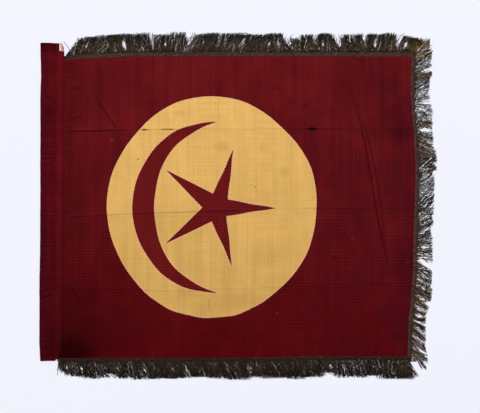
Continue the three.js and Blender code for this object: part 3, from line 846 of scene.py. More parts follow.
def ribbed_weave():
    """Weft ribs, warp streaks and fine grain of a silk cloth."""

    def build(n, given):
        wander = n.swing(n.noise((5, 3, 1)), 0, 6.0)
        turns = n.math("DIVIDE", 2 * math.pi, given["Rib Pitch"])
        rib = n.math("SINE", n.math("MULTIPLY_ADD", n.along("Y"), turns, wander))
        rib = n.math("MULTIPLY", rib, n.math("MULTIPLY", n.noise((9, 46, 1)), 1.7))
        shade = n.math("MULTIPLY_ADD", rib, given["Rib Contrast"], 1.0)
        parts = {}
        for key, stretch, detail in WEAVE_NOISES:
            parts[key] = n.swing(n.noise(stretch, detail), 0, 2)
            shade = n.math("MULTIPLY_ADD", parts[key], given[f"{key} Contrast"], shade)
        height = n.math("MULTIPLY_ADD", parts["Weft"], 0.5, rib)
        return shade, n.math("MULTIPLY_ADD", parts["Grain"], 0.35, height)

    inputs = [
        ("Rib Pitch", NUMBER, 0.0079), ("Rib Contrast", NUMBER, 0.06), ("Warp Contrast", NUMBER, 0.1),
        ("Weft Contrast", NUMBER, 0.06), ("Grain Contrast", NUMBER, 0.08), ("Streak Contrast", NUMBER, 0.1),
    ]
    return node_group("Ribbed weave", inputs, [("Shade", NUMBER), ("Height", NUMBER)], build)


def graded_dye():
    """A dye that changes unevenly from the bottom edge to the top, with cloudy blotches."""

    def build(n, given):
        height = n.ramp(n.along("Y"), given["Bottom Edge"], given["Top Edge"])
        drift = n.math("MULTIPLY_ADD", n.noise((3.5, 3.5, 1)), 0.3, height)
        drift = n.math("SUBTRACT", drift, 0.15)
        low = n.math("MULTIPLY", drift, 2.0, clamp=True)
        high = n.math("MULTIPLY_ADD", drift, 2.0, -1.0, clamp=True)
        dye = n.mix(high, n.mix(low, given["Bottom"], given["Middle"]), given["Top"])
        small = n.math("MULTIPLY", n.noise((31, 24, 1), 3), 0.4)
        clouds = n.math("MULTIPLY_ADD", n.noise((8, 8, 1), 3), 0.6, small)
        return (n.colour_times(dye, n.swing(clouds, 1.0, given["Clouds"])),)

    inputs = [
        ("Top", COLOUR, (1, 1, 1, 1)), ("Middle", COLOUR, (1, 1, 1, 1)), ("Bottom", COLOUR, (1, 1, 1, 1)),
        ("Bottom Edge", NUMBER, -0.38), ("Top Edge", NUMBER, 0.38), ("Clouds", NUMBER, 0.3),
    ]
    return node_group("Graded dye", inputs, [("Color", COLOUR)], build)


def soft_spot():
    """A soft-edged mark with a ragged outline: 1 in its middle, 0 outside."""

    def build(n, given):
        right = n.math("DIVIDE", n.math("SUBTRACT", n.along("X"), given["X"]), given["Half Width"])
        up = n.math("DIVIDE", n.math("SUBTRACT", n.along("Y"), given["Y"]), given["Half Height"])
        far = n.math("SQRT", n.math("MULTIPLY_ADD", right, right, n.math("MULTIPLY", up, up)))
        far = n.math("ADD", far, n.swing(n.noise((190, 190, 1)), 0, given["Ragged"]))
        return (n.ramp(far, 1.25, 0.35, kind="SMOOTHSTEP"),)

    inputs = [(key, NUMBER, 0.01) for key in ("X", "Y", "Half Width", "Half Height", "Ragged")]
    return node_group("Soft spot", inputs, [("Mask", NUMBER)], build)


def crease_shade_and_highlight():
    """Lays painted shade and dirt along a colour's creases, and a painted highlight on the cloth that stands
    up on one side of them.
    """

    def build(n, given):
        ragged = n.math("ADD", n.noise((170, 400, 1), 3), 0.5)
        dark = n.math("MULTIPLY", n.number("crease"), ragged)
        dark = n.math("MULTIPLY", dark, given["Amount"], clamp=True)
        # painted highlight on one bank of each crease
        light = n.math("MULTIPLY", n.number("worn"), given["Crease Highlight"], clamp=True)
        highlighted = n.mix(light, given["Color"], given["Dust and Highlight"])
        # painted shade, with dirt, along the creases
        return (n.mix(dark, highlighted, given["Dirt and Shade"]),)

    inputs = [
        ("Color", COLOUR, (1, 1, 1, 1)), ("Dirt and Shade", COLOUR, (0, 0, 0, 1)), ("Dust and Highlight", COLOUR, (1, 1, 1, 1)),
        ("Amount", NUMBER, 0.8), ("Crease Highlight", NUMBER, 0.2),
    ]
    return node_group("Crease shade and highlight", inputs, [("Color", COLOUR)], build)


def tarnished_thread():
    """Twisted metal thread: dark, silvered or gilt from strand to strand, with painted glints breaking up
    its silver and painted highlight and shade along its coils.
    """

    def build(n, given):
        # painted glints: the silver shows in short bright dashes
        glints = n.swing(n.noise((170, 170, 170), 2), 1, n.math("MULTIPLY", given["Mottle"], 0.75))
        silver = n.math("MULTIPLY", n.number("silver"), glints, clamp=True)
        base = n.mix(silver, given["Dark"], given["Silver"])
        base = n.mix(n.number("gilt"), base, given["Gilt"])
        # painted highlight and shade along each coil
        turns = n.math("SINE", n.math("MULTIPLY", n.number("coil"), given["Turns"]))
        mottle = n.swing(n.noise((300, 300, 300), 3), 1, given["Mottle"])
        shade = n.math("MULTIPLY", n.math("MULTIPLY_ADD", turns, 0.22, mottle), n.number("shade"))
        rough = n.swing(n.noise((120, 120, 120)), given["Roughness"], 0.3)
        return n.colour_times(base, shade), rough, turns

    inputs = [
        ("Dark", COLOUR, (0, 0, 0, 1)), ("Silver", COLOUR, (1, 1, 1, 1)), ("Gilt", COLOUR, (1, 1, 0, 1)),
        ("Turns", NUMBER, 2.2), ("Roughness", NUMBER, 0.5), ("Mottle", NUMBER, 2.5),
    ]
    outputs = [("Color", COLOUR), ("Roughness", NUMBER), ("Height", NUMBER)]
    return node_group("Tarnished thread", inputs, outputs, build)


def finish_material(name, base, roughness, height, bump, specular=0.005, metallic=0.0):
    """A material's shader, given what builds its colour, roughness and height."""
    material = bpy.data.materials.new(name)
    material.use_nodes = True
    tree = material.node_tree
    tree.nodes.clear()
    n = Nodes(tree)
    shader = tree.nodes.new("ShaderNodeBsdfPrincipled")
    shader.inputs["Specular IOR Level"].default_value = specular
    shader.inputs["Metallic"].default_value = metallic
    output = tree.nodes.new("ShaderNodeOutputMaterial")
    tree.links.new(shader.outputs[0], output.inputs[0])
    base_socket, rough_socket, height_socket = base(n)
    tree.links.new(base_socket, shader.inputs["Base Color"])
    if rough_socket is None:
        shader.inputs["Roughness"].default_value = roughness
    else:
        tree.links.new(rough_socket, shader.inputs["Roughness"])
    relief = {"Height": height_socket, "Strength": bump, "Distance": height}
    tree.links.new(n.add("ShaderNodeBump", relief), shader.inputs["Normal"])
    return material


def with_marks(n, base, marks, dark, light):
    """A colour with small marks, each a soft spot."""
    for x, y, half_width, half_height, strength in marks:
        at = on_part(np.array([x, y, 0.0]))
        mask = n.group(soft_spot(), {
            "X": at[0],
            "Y": at[1],
            "Half Width": half_width / 1000,
            "Half Height": half_height / 1000,
            "Ragged": 0.7 if half_width < BROAD_MARK else 0.3,
        })
        mask = n.math("MULTIPLY", mask, abs(strength))
        base = n.mix(mask, base, dark if strength > 0 else light)
    return base


def rib_zone(n, bottom, top):
    """How plainly the ribs stand out at a height on the flag: fully from bottom to top, faintly beyond."""
    fades = [
        n.ramp(n.along("Y"), (edge + over) / 1000, edge / 1000, 0.03, "SMOOTHSTEP")
        for edge, over in ((bottom, -RIB_FADE), (top, RIB_FADE))
    ]
    return n.math("MULTIPLY", *fades)


def silk_material(name, dyes, weave, dark_and_light, marks=(), extra=None, roughness=0.6):
    """A ribbed silk: dye that changes from bottom to top, weave, marks, and creases with painted shade and
    painted highlight. extra adds to its colour before the weave.
    """

    def base(n):
        dye = dict(zip(("Top", "Middle", "Bottom"), dyes), Clouds=weave["clouds"])
        cloth = n.group(graded_dye(), dye)
        if extra:
            cloth = extra(n, cloth)
        cloth = with_marks(n, cloth, marks, dark_and_light["Dirt and Shade"], dark_and_light["Dust and Highlight"])
        values = {key: value for key, value in weave.items() if key not in ("clouds", "zone", "bump")}
        if "zone" in weave:
            values["Rib Contrast"] = n.math("MULTIPLY", rib_zone(n, *weave["zone"]), weave["Rib Contrast"])
            upper_part = n.ramp(n.along("Y"), -0.15, 0.15, 0.35)
            values["Streak Contrast"] = n.math("MULTIPLY", upper_part, weave["Streak Contrast"])
        shade = n.group(ribbed_weave(), values, "Shade")
        cloth = n.colour_times(cloth, shade)
        # painted shade and dirt along the creases, painted highlight on their banks
        cloth = n.group(crease_shade_and_highlight(), {"Color": cloth, **dark_and_light})
        rough = n.swing(n.noise((60, 60, 1), 3), roughness, 0.25)
        return cloth, rough, shade.node.outputs["Height"]

    return finish_material(name, base, roughness, SILK_RELIEF, weave["bump"])


def plain_material(name, base_colour, contrast, roughness, stretch=(500, 500, 500)):
    """A plain thread or cotton with a fine uneven grain."""

    def base(n):
        grain = n.swing(n.noise(stretch, 3), 1, contrast)
        return n.colour_times(base_colour, grain), None, grain

    return finish_material(name, base, roughness, THREAD_RELIEF, 0.5)


def thread_material(name, colours, mottle=2.5, turns=2.2, roughness=0.45, metallic=0.3):
    """Tarnished metal thread."""

    def base(n):
        values = dict(zip(("Dark", "Silver", "Gilt"), colours))
        values.update({"Turns": turns, "Roughness": roughness, "Mottle": mottle})
        thread = n.group(tarnished_thread(), values)
        return thread, thread.node.outputs["Roughness"], thread.node.outputs["Height"]

    shine = {"specular": 0.08, "metallic": metallic}
    return finish_material(name, base, roughness, THREAD_RELIEF, 0.6, **shine)


# Settings ---------------------------------------------------------------------------------------


def colour_setting(name, description, code):
    """A colour that a user can change."""
    return FloatVectorProperty(name=name, description=description, subtype="COLOR", size=3,
                               min=0, max=1, default=colour(code))


class FlagClothSettings(bpy.types.PropertyGroup):
    """The silk, its dirt, and the painted shade in its creases."""

    red_top: colour_setting("Red, Top", "Dye of the field near its top edge", 0x651418)
    red_middle: colour_setting("Red, Middle", "Dye of the field half way up", 0x5C1115)
    red_bottom: colour_setting("Red, Bottom", "Dye of the field near its bottom edge", 0x55090E)
    red_shade: colour_setting("Red, Shade", "Bluer dye in blotches of the field's fly half", 0x400E1E)
    red_kept: colour_setting("Red, Kept", "Dye that the crescent and the star have kept", 0x6A1718)
    gold_top: colour_setting("Gold, Top", "Dye of the disc near its top", 0xE8B768)
    gold_bottom: colour_setting("Gold, Bottom", "Dye of the disc near its bottom", 0xD2A458)
    sleeve: colour_setting("Sleeve", "Dye of the pole sleeve", 0x570D13)
    lining: colour_setting("Lining", "Colour of the cream lining", 0xD2A682)
    # Dirt and painted shade: this colour darkens the creases, the dark marks, and the red beside the
    # sleeve's and the disc's raised edges
    dirt_and_shade: colour_setting("Dirt and Shade", "Dirt in the creases of the red silk", 0x200204)
    # how strong the painted shade and dirt in the creases are
    crease_shade_and_dirt: FloatProperty(name="Crease Shade and Dirt", description="How dark the creases are",
                               default=0.8, min=0, max=1, subtype="FACTOR")
    rib_pitch: FloatProperty(name="Rib Pitch", description="Distance from one weft rib to the next",
                             default=0.0079, min=0.001, max=0.03, subtype="DISTANCE", unit="LENGTH")


class FlagFringeSettings(bpy.types.PropertyGroup):
    """The metal fringe."""

    dark: colour_setting("Tarnish", "Colour of the tarnished strands", 0x514334)
    silver: colour_setting("Silver", "Colour of the strands that are still silver grey", 0xE4E4E8)
    gilt: colour_setting("Gilt", "Colour of the strands that are still gilt", 0x8E6A34)
    header: colour_setting("Header", "Colour of the woven header", 0x523831)
    stitching: colour_setting("Stitching", "Colour of the stitches along the header", 0x907A6C)
    strand: FloatProperty(name="Strand", description="Diameter of a twisted strand", default=0.0019,
                          min=0.0005, max=0.004, subtype="DISTANCE", unit="LENGTH")
    lock: FloatProperty(name="Lock", description="Width of the locks that the strands gather into",
                        default=0.0092, min=0.004, max=0.03, subtype="DISTANCE", unit="LENGTH")


class FlagStageSettings(bpy.types.PropertyGroup):
    """Camera, floor and light."""

    view_width: FloatProperty(name="View Width", description="Width that the picture shows", default=1.2,
                              min=0.5, max=5, subtype="DISTANCE", unit="LENGTH")
    lens: FloatProperty(name="Lens", description="Focal length", default=100, min=20, max=300,
                        subtype="DISTANCE_CAMERA", unit="CAMERA")
    floor: colour_setting("Floor", "Colour that the floor is seen in", 0xF3F4FE)
    light: FloatProperty(name="Light", description="Power of the strongest lamp", default=26.0,
                         min=0, max=500, subtype="POWER", unit="POWER")


# Operators --------------------------------------------------------------------------------------


def cloth():
    """The settings of the silk."""
    return bpy.context.scene.flag_cloth


def rgba(setting):
    """A colour with the fourth number that sockets take."""
    return (*setting, 1.0)


def under_disc(beyond_seam):
    """How far a red cloth dips to run under the disc, by its distance from the seam on its own side."""
    return TUCK * smooth((2.2 - beyond_seam) / 1.2)


def red_silk():
    """The field's silk, which the crescent and the star are cut from too."""
    if "Red silk" in bpy.data.materials:
        return bpy.data.materials["Red silk"]
    settings = cloth()
    dirt_and_shade = rgba(settings.dirt_and_shade)

    def extra(n, dye):
        fly_half = n.ramp(n.along("X"), 0.12, 0.45)
        blotches = n.math("MULTIPLY", n.ramp(n.noise((13, 9, 1), 4), 0.42, 0.72), fly_half)
        shaded = n.mix(n.math("MULTIPLY", blotches, 0.7), dye, rgba(settings.red_shade))
        clean = n.mix(n.share_of("kept", 0.8), shaded, rgba(settings.red_kept))
        # Painted shadow where the sleeve's and the disc's raised edges stand over the red, and darker round
        # the tear
        return n.mix(n.share_of("seam", 0.3), clean, dirt_and_shade)

    return silk_material(
        "Red silk",
        [rgba(settings.red_top), rgba(settings.red_middle), rgba(settings.red_bottom)],
        {"clouds": 1.1, "zone": (-300, -20), "bump": 0.3, "Rib Pitch": settings.rib_pitch,
         "Rib Contrast": 0.14, "Warp Contrast": 0.26, "Weft Contrast": 0.12, "Grain Contrast": 0.2,
         "Streak Contrast": 0.34},
        # painted shade and dirt in the creases, painted highlight on their banks
        {"Dirt and Shade": dirt_and_shade, "Dust and Highlight": rgba(colour(0x8A3F42)), "Amount": settings.crease_shade_and_dirt, "Crease Highlight": 0.05},
        FIELD_MARKS,
        extra,
    )


def gold_silk():
    """The disc's silk, with painted shade and dirt in its creases and a painted highlight along its turned
    edge.
    """
    settings = cloth()

    def extra(n, dye):
        # painted highlight along the disc's turned edges
        return n.mix(n.share_of("rim", 0.7), dye, rgba(colour(0xF0AE84)))

    top, bottom = rgba(settings.gold_top), rgba(settings.gold_bottom)
    middle = [(a + b) / 2 for a, b in zip(top, bottom)]
    return silk_material(
        "Gold silk",
        [top, middle, bottom],
        {"clouds": 0.46, "bump": 0.15, "Rib Pitch": settings.rib_pitch, "Rib Contrast": 0.006,
         "Warp Contrast": 0.16, "Weft Contrast": 0.13, "Grain Contrast": 0.24, "Streak Contrast": 0.12},
        # brown painted shade and dirt in the creases, painted highlight on their banks
        {"Dirt and Shade": rgba(colour(0x4A2A14)), "Dust and Highlight": rgba(colour(0xE8CBA4)), "Amount": 0.75, "Crease Highlight": 0.1},
        DISC_MARKS,
        extra,
    )


class FLAG_OT_field(bpy.types.Operator):
    """Builds the red field with its torn hole, and the patch behind it"""

    bl_idname = "flag.field"
    bl_label = "Build Field"

    def execute(self, context):
        creases = [*FIELD_FOLDS, *PLEAT_SIDES, *FIELD_CREASES, *seam_puckers(5, 1, 1.0)]
        disc = disc_outline()
        tear = tear_outline()

        def marks_of(points):
            outside = clearance(points, disc)
            # painted shadow of the disc's raised edge on the red beside it
            seam = bell(np.maximum(outside, 0), 1.8)
            # painted shadow of the sleeve's raised edge, darker towards the bottom
            beside_sleeve = np.maximum(points[:, 0] - line_at(SLEEVE_SEAM, points[:, 1]), 0)
            shadow = 0.5 + 0.7 * smooth((-200 - points[:, 1]) / 150)
            seam = np.maximum(seam, shadow * bell(beside_sleeve, 4.0))
            # darker round the tear too
            round_tear = bell(clearance(points, tear), 1.6)
            return under_disc(outside), {"seam": np.maximum(seam, 1.6 * round_tear)}

        up = np.arange(-378, 372, 3.5)
        seeds = [dense(disc_outline(grow), 3) for grow in (0.0, 1.0, 2.4, 4.5)]
        seeds += [dense(grown(tear, grow), 1.4) for grow in (0.8, 2.0, 3.6)]
        seeds += [np.column_stack([across_sleeve(up, 1) + off, up]) for off in (1, 3, 5)]
        look = {"spacing": CLOTH_SPACING, "seed": 1, "clear": 0.9, "seeds": seeds}
        outline = dense(field_outline(), 4)
        holes = [dense(disc_outline(-SEAM_LAP), 4), tear]
        field = cloth_piece("field", outline, holes, creases, look, (red_silk(), "red_silk"), marks_of)
        self.build_patch()
        self.build_frays()
        return {"FINISHED"}

    def build_patch(self):
        """The dark patch that shows through the tear."""
        half = np.array([PATCH["length"], PATCH["width"]]) / 2
        middle = np.array([TEAR["x"], line_at(UPPER_FOLD, TEAR["x"])])
        outline = dense(middle + half * np.array([(-1, -1), (1, -1), (1, 1), (-1, 1)]), 2)

        def height_of(x, y):
            return 0.7 + 0.15 * np.sin(x * 1.1) * np.sin(y * 1.7)

        material = plain_material("Dark backing", colour(0x120B0B), 0.6, 0.9)
        patch = small_sheet("tear_backing", outline, 2.5, 3, 0.8, height_of, SILK, material, "dark_backing")

    def build_frays(self):
        """Frayed threads that stand into the tear from its edge."""
        rng = np.random.default_rng(8)
        edge = dense(tear_outline(), 0.55)
        inward = -rightward(unit(np.roll(edge, -1, axis=0) - edge))
        inward = inward + rng.normal(0, 0.35, edge.shape)
        reach = rng.gamma(1.6, 0.5, (len(edge), 1))
        base = lift(*edge.T) + CLOTH
        paths = np.stack([
            np.column_stack([edge + inward * (reach * share - 0.4), base - drop])
            for share, drop in ((0, 0.1), (0.5, 0.12), (1, 0.3))
        ], axis=1)
        material = plain_material("Frayed silk", colour(0x4A1014), 0.8, 0.8)
        thread_piece("tear_frays", paths, FRAY_RADIUS, 3, material, "red_silk")


class FLAG_OT_devices(bpy.types.Operator):
    """Builds the gold disc, the crescent and the star"""

    bl_idname = "flag.devices"
    bl_label = "Build Disc, Crescent and Star"

    def execute(self, context):
        crescent, star = crescent_outline(), star_outline()
        creases = [*FIELD_FOLDS, *DISC_CREASES]
        disc_edge = serrated(disc_outline(), 1.8, 7, 2.3, lambda x, y: 0.35 + smooth((-y - 215) / 40))
        holes = [
            serrated(crescent, 1.8, 7, 1.8, lambda x, y: 0.5 + 0.5 * smooth((np.abs(y) - 120) / 60)),
            serrated(star, 1.6, 7, 2.3, lambda x, y: 0.2 + 0.8 * smooth((x - STAR["x"] + 10) / 30)),
        ]

        def disc_marks(points):
            rim = -clearance(points, disc_outline())
            inner = [np.maximum(clearance(points, hole), 0) for hole in (crescent, star)]
            nearest = np.min([np.maximum(rim, 0), *inner], axis=0)
            # the rim number is the painted highlight along the turned edges, round the disc and its holes
            return 0 * nearest, {"rim": bell(nearest, 2.4)}

        seeds = [dense(disc_outline(-inward), 3) for inward in (1.1, 2.4, 4.2)]
        seeds += [dense(shape(grow), 3) for shape in (crescent_outline, star_outline) for grow in (1.1, 2.4)]
        look = {"spacing": CLOTH_SPACING, "seed": 2, "clear": 0.7, "seeds": seeds}
        finish = (gold_silk(), "gold_silk")
        disc = cloth_piece("disc", disc_edge, holes, creases, look, finish, disc_marks)
        sizes = {"crescent": (0.059, 0.431), "star": (0.24, 0.24)}
        for name, shape in (("crescent", crescent_outline), ("star", star_outline)):
            self.build_device(name, shape, creases, sizes[name])
        return {"FINISHED"}

    def build_device(self, name, shape, creases, size):
        """A red device, whose edge runs on a little under the disc."""
        edge = shape()

        def marks_of(points):
            inside = -clearance(points, edge)
            # painted shadow of the disc's raised edge on the red device beside it
            seam = bell(np.maximum(inside, 0), 1.5)
            return under_disc(inside), {"seam": seam, "kept": 0 * seam + 1}

        seeds = [dense(shape(grow), 2.5) for grow in (0, -1, -2.2)]
        look = {"spacing": 4.0, "seed": 4, "clear": 0.7, "seeds": seeds}
        outline = dense(shape(SEAM_LAP), 3)
        device = cloth_piece(name, outline, [], creases, look, (red_silk(), "red_silk"), marks_of)


# The sleeve's section: share of its width, height of its outer face, and whether it is the under layer
SLEEVE_UNDER = [(0.79, 0.1), (0.6, 0.1), (0.35, 0.1), (0.15, 0.1), (0.05, 0.15), (0.012, 0.7)]
SLEEVE_OVER = [
    (0.0, 2.0), (0.012, 3.7), (0.05, 5.3), (0.13, 6.4), (0.27, 6.9), (0.42, 6.6), (0.53, 5.4),
    (0.6, 4.1), (0.64, 3.5), (0.68, 3.3), (0.72, 3.4), (0.8, 3.3), (0.9, 3.0), (0.965, 2.5), (1.0, 1.7),
]
SLEEVE_TOPS = [(0, 408.6), (0.08, 409.5), (0.5, 409), (0.755, 407.2), (0.8, 389.5), (1.0, LAP_TOP)]
SLEEVE_BEND = -348  # below this the band's stitched edge turns in
BEND_FADE, BEND_IN = 36, 7.5  # over this height, and by this much
UNDER_TOP, UNDER_BOTTOM = SLEEVE_TOP - 0.6, -385.5  # where the sleeve's under layer ends
SECTION_STEP = 1.1  # between the points of the sleeve's section
SLEEVE_BOTTOMS = [(0, -385.6), (0.69, -384.4), (1.0, -379.6)]
SLEEVE_WIDTH = 58
SLEEVE_ROWS = 190
SLEEVE_CLOTH = 0.5  # the sleeve is silk over a lining
BAND_START = 0.63  # where the stitched band starts across the sleeve's width
STITCH_ROWS = [(0.69, 3.5), (0.955, 3.15)]  # rows of stitches: share of the width, and height


class FLAG_OT_sleeve(bpy.types.Operator):
    """Builds the pole sleeve, its stitching and the lining tab"""

    bl_idname = "flag.sleeve"
    bl_label = "Build Sleeve"

    def execute(self, context):
        layers = [(share * SLEEVE_WIDTH, z, 1) for share, z in SLEEVE_UNDER]
        layers += [(share * SLEEVE_WIDTH, z, 0) for share, z in SLEEVE_OVER]
        section, _ = resampled(layers, SECTION_STEP)
        share, height, under = section[:, 0] / SLEEVE_WIDTH, section[:, 1], section[:, 2]
        tops = np.where(under > 0.5, UNDER_TOP, line_at(SLEEVE_TOPS, share))
        bottoms = np.where(under > 0.5, UNDER_BOTTOM, line_at(SLEEVE_BOTTOMS, share))
        down = np.linspace(0, 1, SLEEVE_ROWS)[:, None]
        y = tops + (bottoms - tops) * down
        in_band = np.maximum(share - BAND_START, 0) / (1 - BAND_START)
        bend = BEND_IN * smooth((SLEEVE_BEND - y) / BEND_FADE) * in_band
        ripple = (0.2 * np.sin(y / 23) + 0.15 * np.sin(y / 6.3 + 1)) * np.exp(-share / 0.08)
        x = across_sleeve(y, share) - bend + ripple
        flat = np.column_stack([x.ravel(), y.ravel()])
        creases = [*SLEEVE_CREASES, HEM_LINE, *seam_puckers(9, -1, 0.66)]
        relief, dark, light = crease_effect(flat, creases)
        over = np.tile(under < 0.5, SLEEVE_ROWS)
        z = np.tile(height, SLEEVE_ROWS)
        share = np.tile(share, SLEEVE_ROWS)
        slack = 0.5 * np.sin(flat[:, 1] / 21 + np.sin(flat[:, 1] / 57) * 2) * np.sin(math.pi * share)
        z = z + np.where(over & (z > 1), relief + slack, 0)
        # Painted shade through the crease number: along the rounded left fold, the groove before the band,
        # the seam edge and the top end
        edge = bell(share, 0.03) + bell(share - 0.635, 0.035) * 0.16
        edge = edge + bell(1 - share, 0.04) * 0.3
        ends = bell(flat[:, 1] - SLEEVE_TOP, 3.0) * 0.9
        numbers = {
            "crease": np.maximum(dark, np.maximum(edge, ends)) * over,
            "worn": light * over,
            # painted shade on the rounded left side of the tube
            "left": smooth((0.36 - share) / 0.12) * over,
            "band": smooth((share - BAND_START) / 0.04) * over,
        }
        self.loft(np.column_stack([flat, z]).reshape(SLEEVE_ROWS, -1, 3), numbers)
        self.build_tab()
        self.build_stitches()
        return {"FINISHED"}

    def loft(self, outer, numbers):
        """The folded strip as a closed sheet, its inner face one cloth's thickness inside its outer one."""
        inward = unit(np.cross(np.gradient(outer, axis=1), np.gradient(outer, axis=0))) * SLEEVE_CLOTH
        under_layer = (outer.shape[0] // 2, outer.shape[1] // 5)
        if inward[under_layer][2] < 0:
            inward = -inward
        vertices, faces = grid_solid(outer, outer + inward)
        numbers = {key: np.tile(values, 2) for key, values in numbers.items()}
        material = self.material()
        sleeve = add_piece("pole_sleeve", vertices, faces, material, "sleeve_silk", ["pole_sleeve"], numbers)

    def material(self):
        settings = cloth()
        dyes = [rgba([channel * share for channel in settings.sleeve]) for share in (1.02, 0.95, 0.58)]

        def extra(n, base):
            # painted shade on the rounded left side of the tube
            base = n.mix(n.share_of("left", 0.55), base, rgba(colour(0x450B15)))
            return n.mix(n.share_of("band", 0.55), base, n.colour_times(base, 1.38))

        return silk_material(
            "Sleeve silk", dyes,
            {"clouds": 1.5, "bump": 0.3, "Rib Pitch": 0.0055, "Rib Contrast": 0.04,
             "Warp Contrast": 0.1, "Weft Contrast": 0.5, "Grain Contrast": 0.26, "Streak Contrast": 0.04},
            # painted shade and dirt in the creases, painted highlight on their banks
            {"Dirt and Shade": rgba(colour(0x1E040A)), "Dust and Highlight": rgba(colour(0x7A3038)),
             "Amount": settings.crease_shade_and_dirt, "Crease Highlight": 0.05},
            SLEEVE_MARKS, extra, roughness=0.64,
        )

    def build_tab(self):
        """The end of the cream lining, turned up a little at its corner."""
        left, right, bottom, top, slant = (TAB[key] for key in ("left", "right", "bottom", "top", "slant"))
        corners = [
            (left + slant, bottom), (right, bottom), (right + 0.6, top - 13), (right - 3, top - slant),
            (right - 5.4, top), (left, top - 0.6),
        ]
        outline = dense(np.array(corners, float), 1.2)

        def height_of(x, y):
            curl = 1.2 * smooth((y - 396) / 16)
            return 2.0 + curl + 0.2 * np.sin(x * 1.3 + y * 0.4)

        material = self.lining(left, right)
        tab = small_sheet("lining_tab", outline, 1.6, 6, 0.5, height_of, 0.5, material, "cream_lining")

    def lining(self, left, right):
        """Cream lining, darker brown towards its right edge."""
        ends = on_part(np.array([[left, 0.0, 0.0], [right, 0.0, 0.0]]))[:, 0]

        def base(n):
            darker_right = n.ramp(n.along("X"), ends.mean(), ends[1])
            tint = n.mix(darker_right, rgba(cloth().lining), rgba(colour(0x8C5238)))
            grain = n.swing(n.noise((900, 300, 300), 3), 1, 0.4)
            return n.colour_times(tint, grain), None, grain

        return finish_material("Cream lining", base, 0.85, THREAD_RELIEF, 0.5)

    def build_stitches(self):
        """Running stitches down both edges of the band."""
        rng = np.random.default_rng(14)
        paths = []
        for share, z in STITCH_ROWS:
            for y in np.arange(-374, 386, SEWING_PITCH):
                x = across_sleeve(y, share) + rng.normal(0, 0.15)
                y = y + rng.normal(0, 0.2)
                paths.append([(x, y - 1.3, z), (x, y, z + 0.28), (x, y + 1.3, z)])
        material = plain_material("Sewing thread", colour(0x3A0A10), 0.4, 0.6)
        thread_piece("sleeve_stitches", np.array(paths), SEWING_RADIUS, 5, material, "sleeve_silk")


SKIRT_LAYERS = 2
SKIRT_DEPTH = 3.0  # all the layers together
ROOT_HEIGHT, ROOT_DROP = 2.9, 1.9  # strands start this high, and come this much lower beyond the header
STRAND_SIDES = 3
STRAY_STATIONS = 11  # points along a thread that leaves the fringe
STRAY_RADIUS = 0.7
FINE_SHARE = 0.15  # fine threads for each strand
SHORT_SHARE = 0.34  # strands that have worn short
OPEN_GAP = 4.9  # gaps wider than this are open at the strands' tips
GAP_PUSH = 1.25  # strands beside a gap are moved this many of its half widths away from it
PARTED_SHARE = 0.93  # and this many of them are moved at all
FRINGE_NUMBERS = ("coil", "shade", "silver", "gilt")
# A header's section past its inner edge: (how far out, how high its upper face lies)
HEADER_SECTION = [
    (0.2, 2.0), (1.6, 2.3), (3.2, 2.15), (5, 2.25), (7, 2.15), (9, 2.25), (11, 2.15), (12.6, 2.2),
    (13.3, 1.6),
]
HEADER_INSET = 0.2  # a header's edges stand in from its full width by this much
INNER_EDGE_HEIGHT = 1.5
HEADER_STEP = 2.2  # from one row of the header's mesh to the next
HEADER_RIB = 6.1  # from one rib across the header to the next
STITCH_SIDES = 5


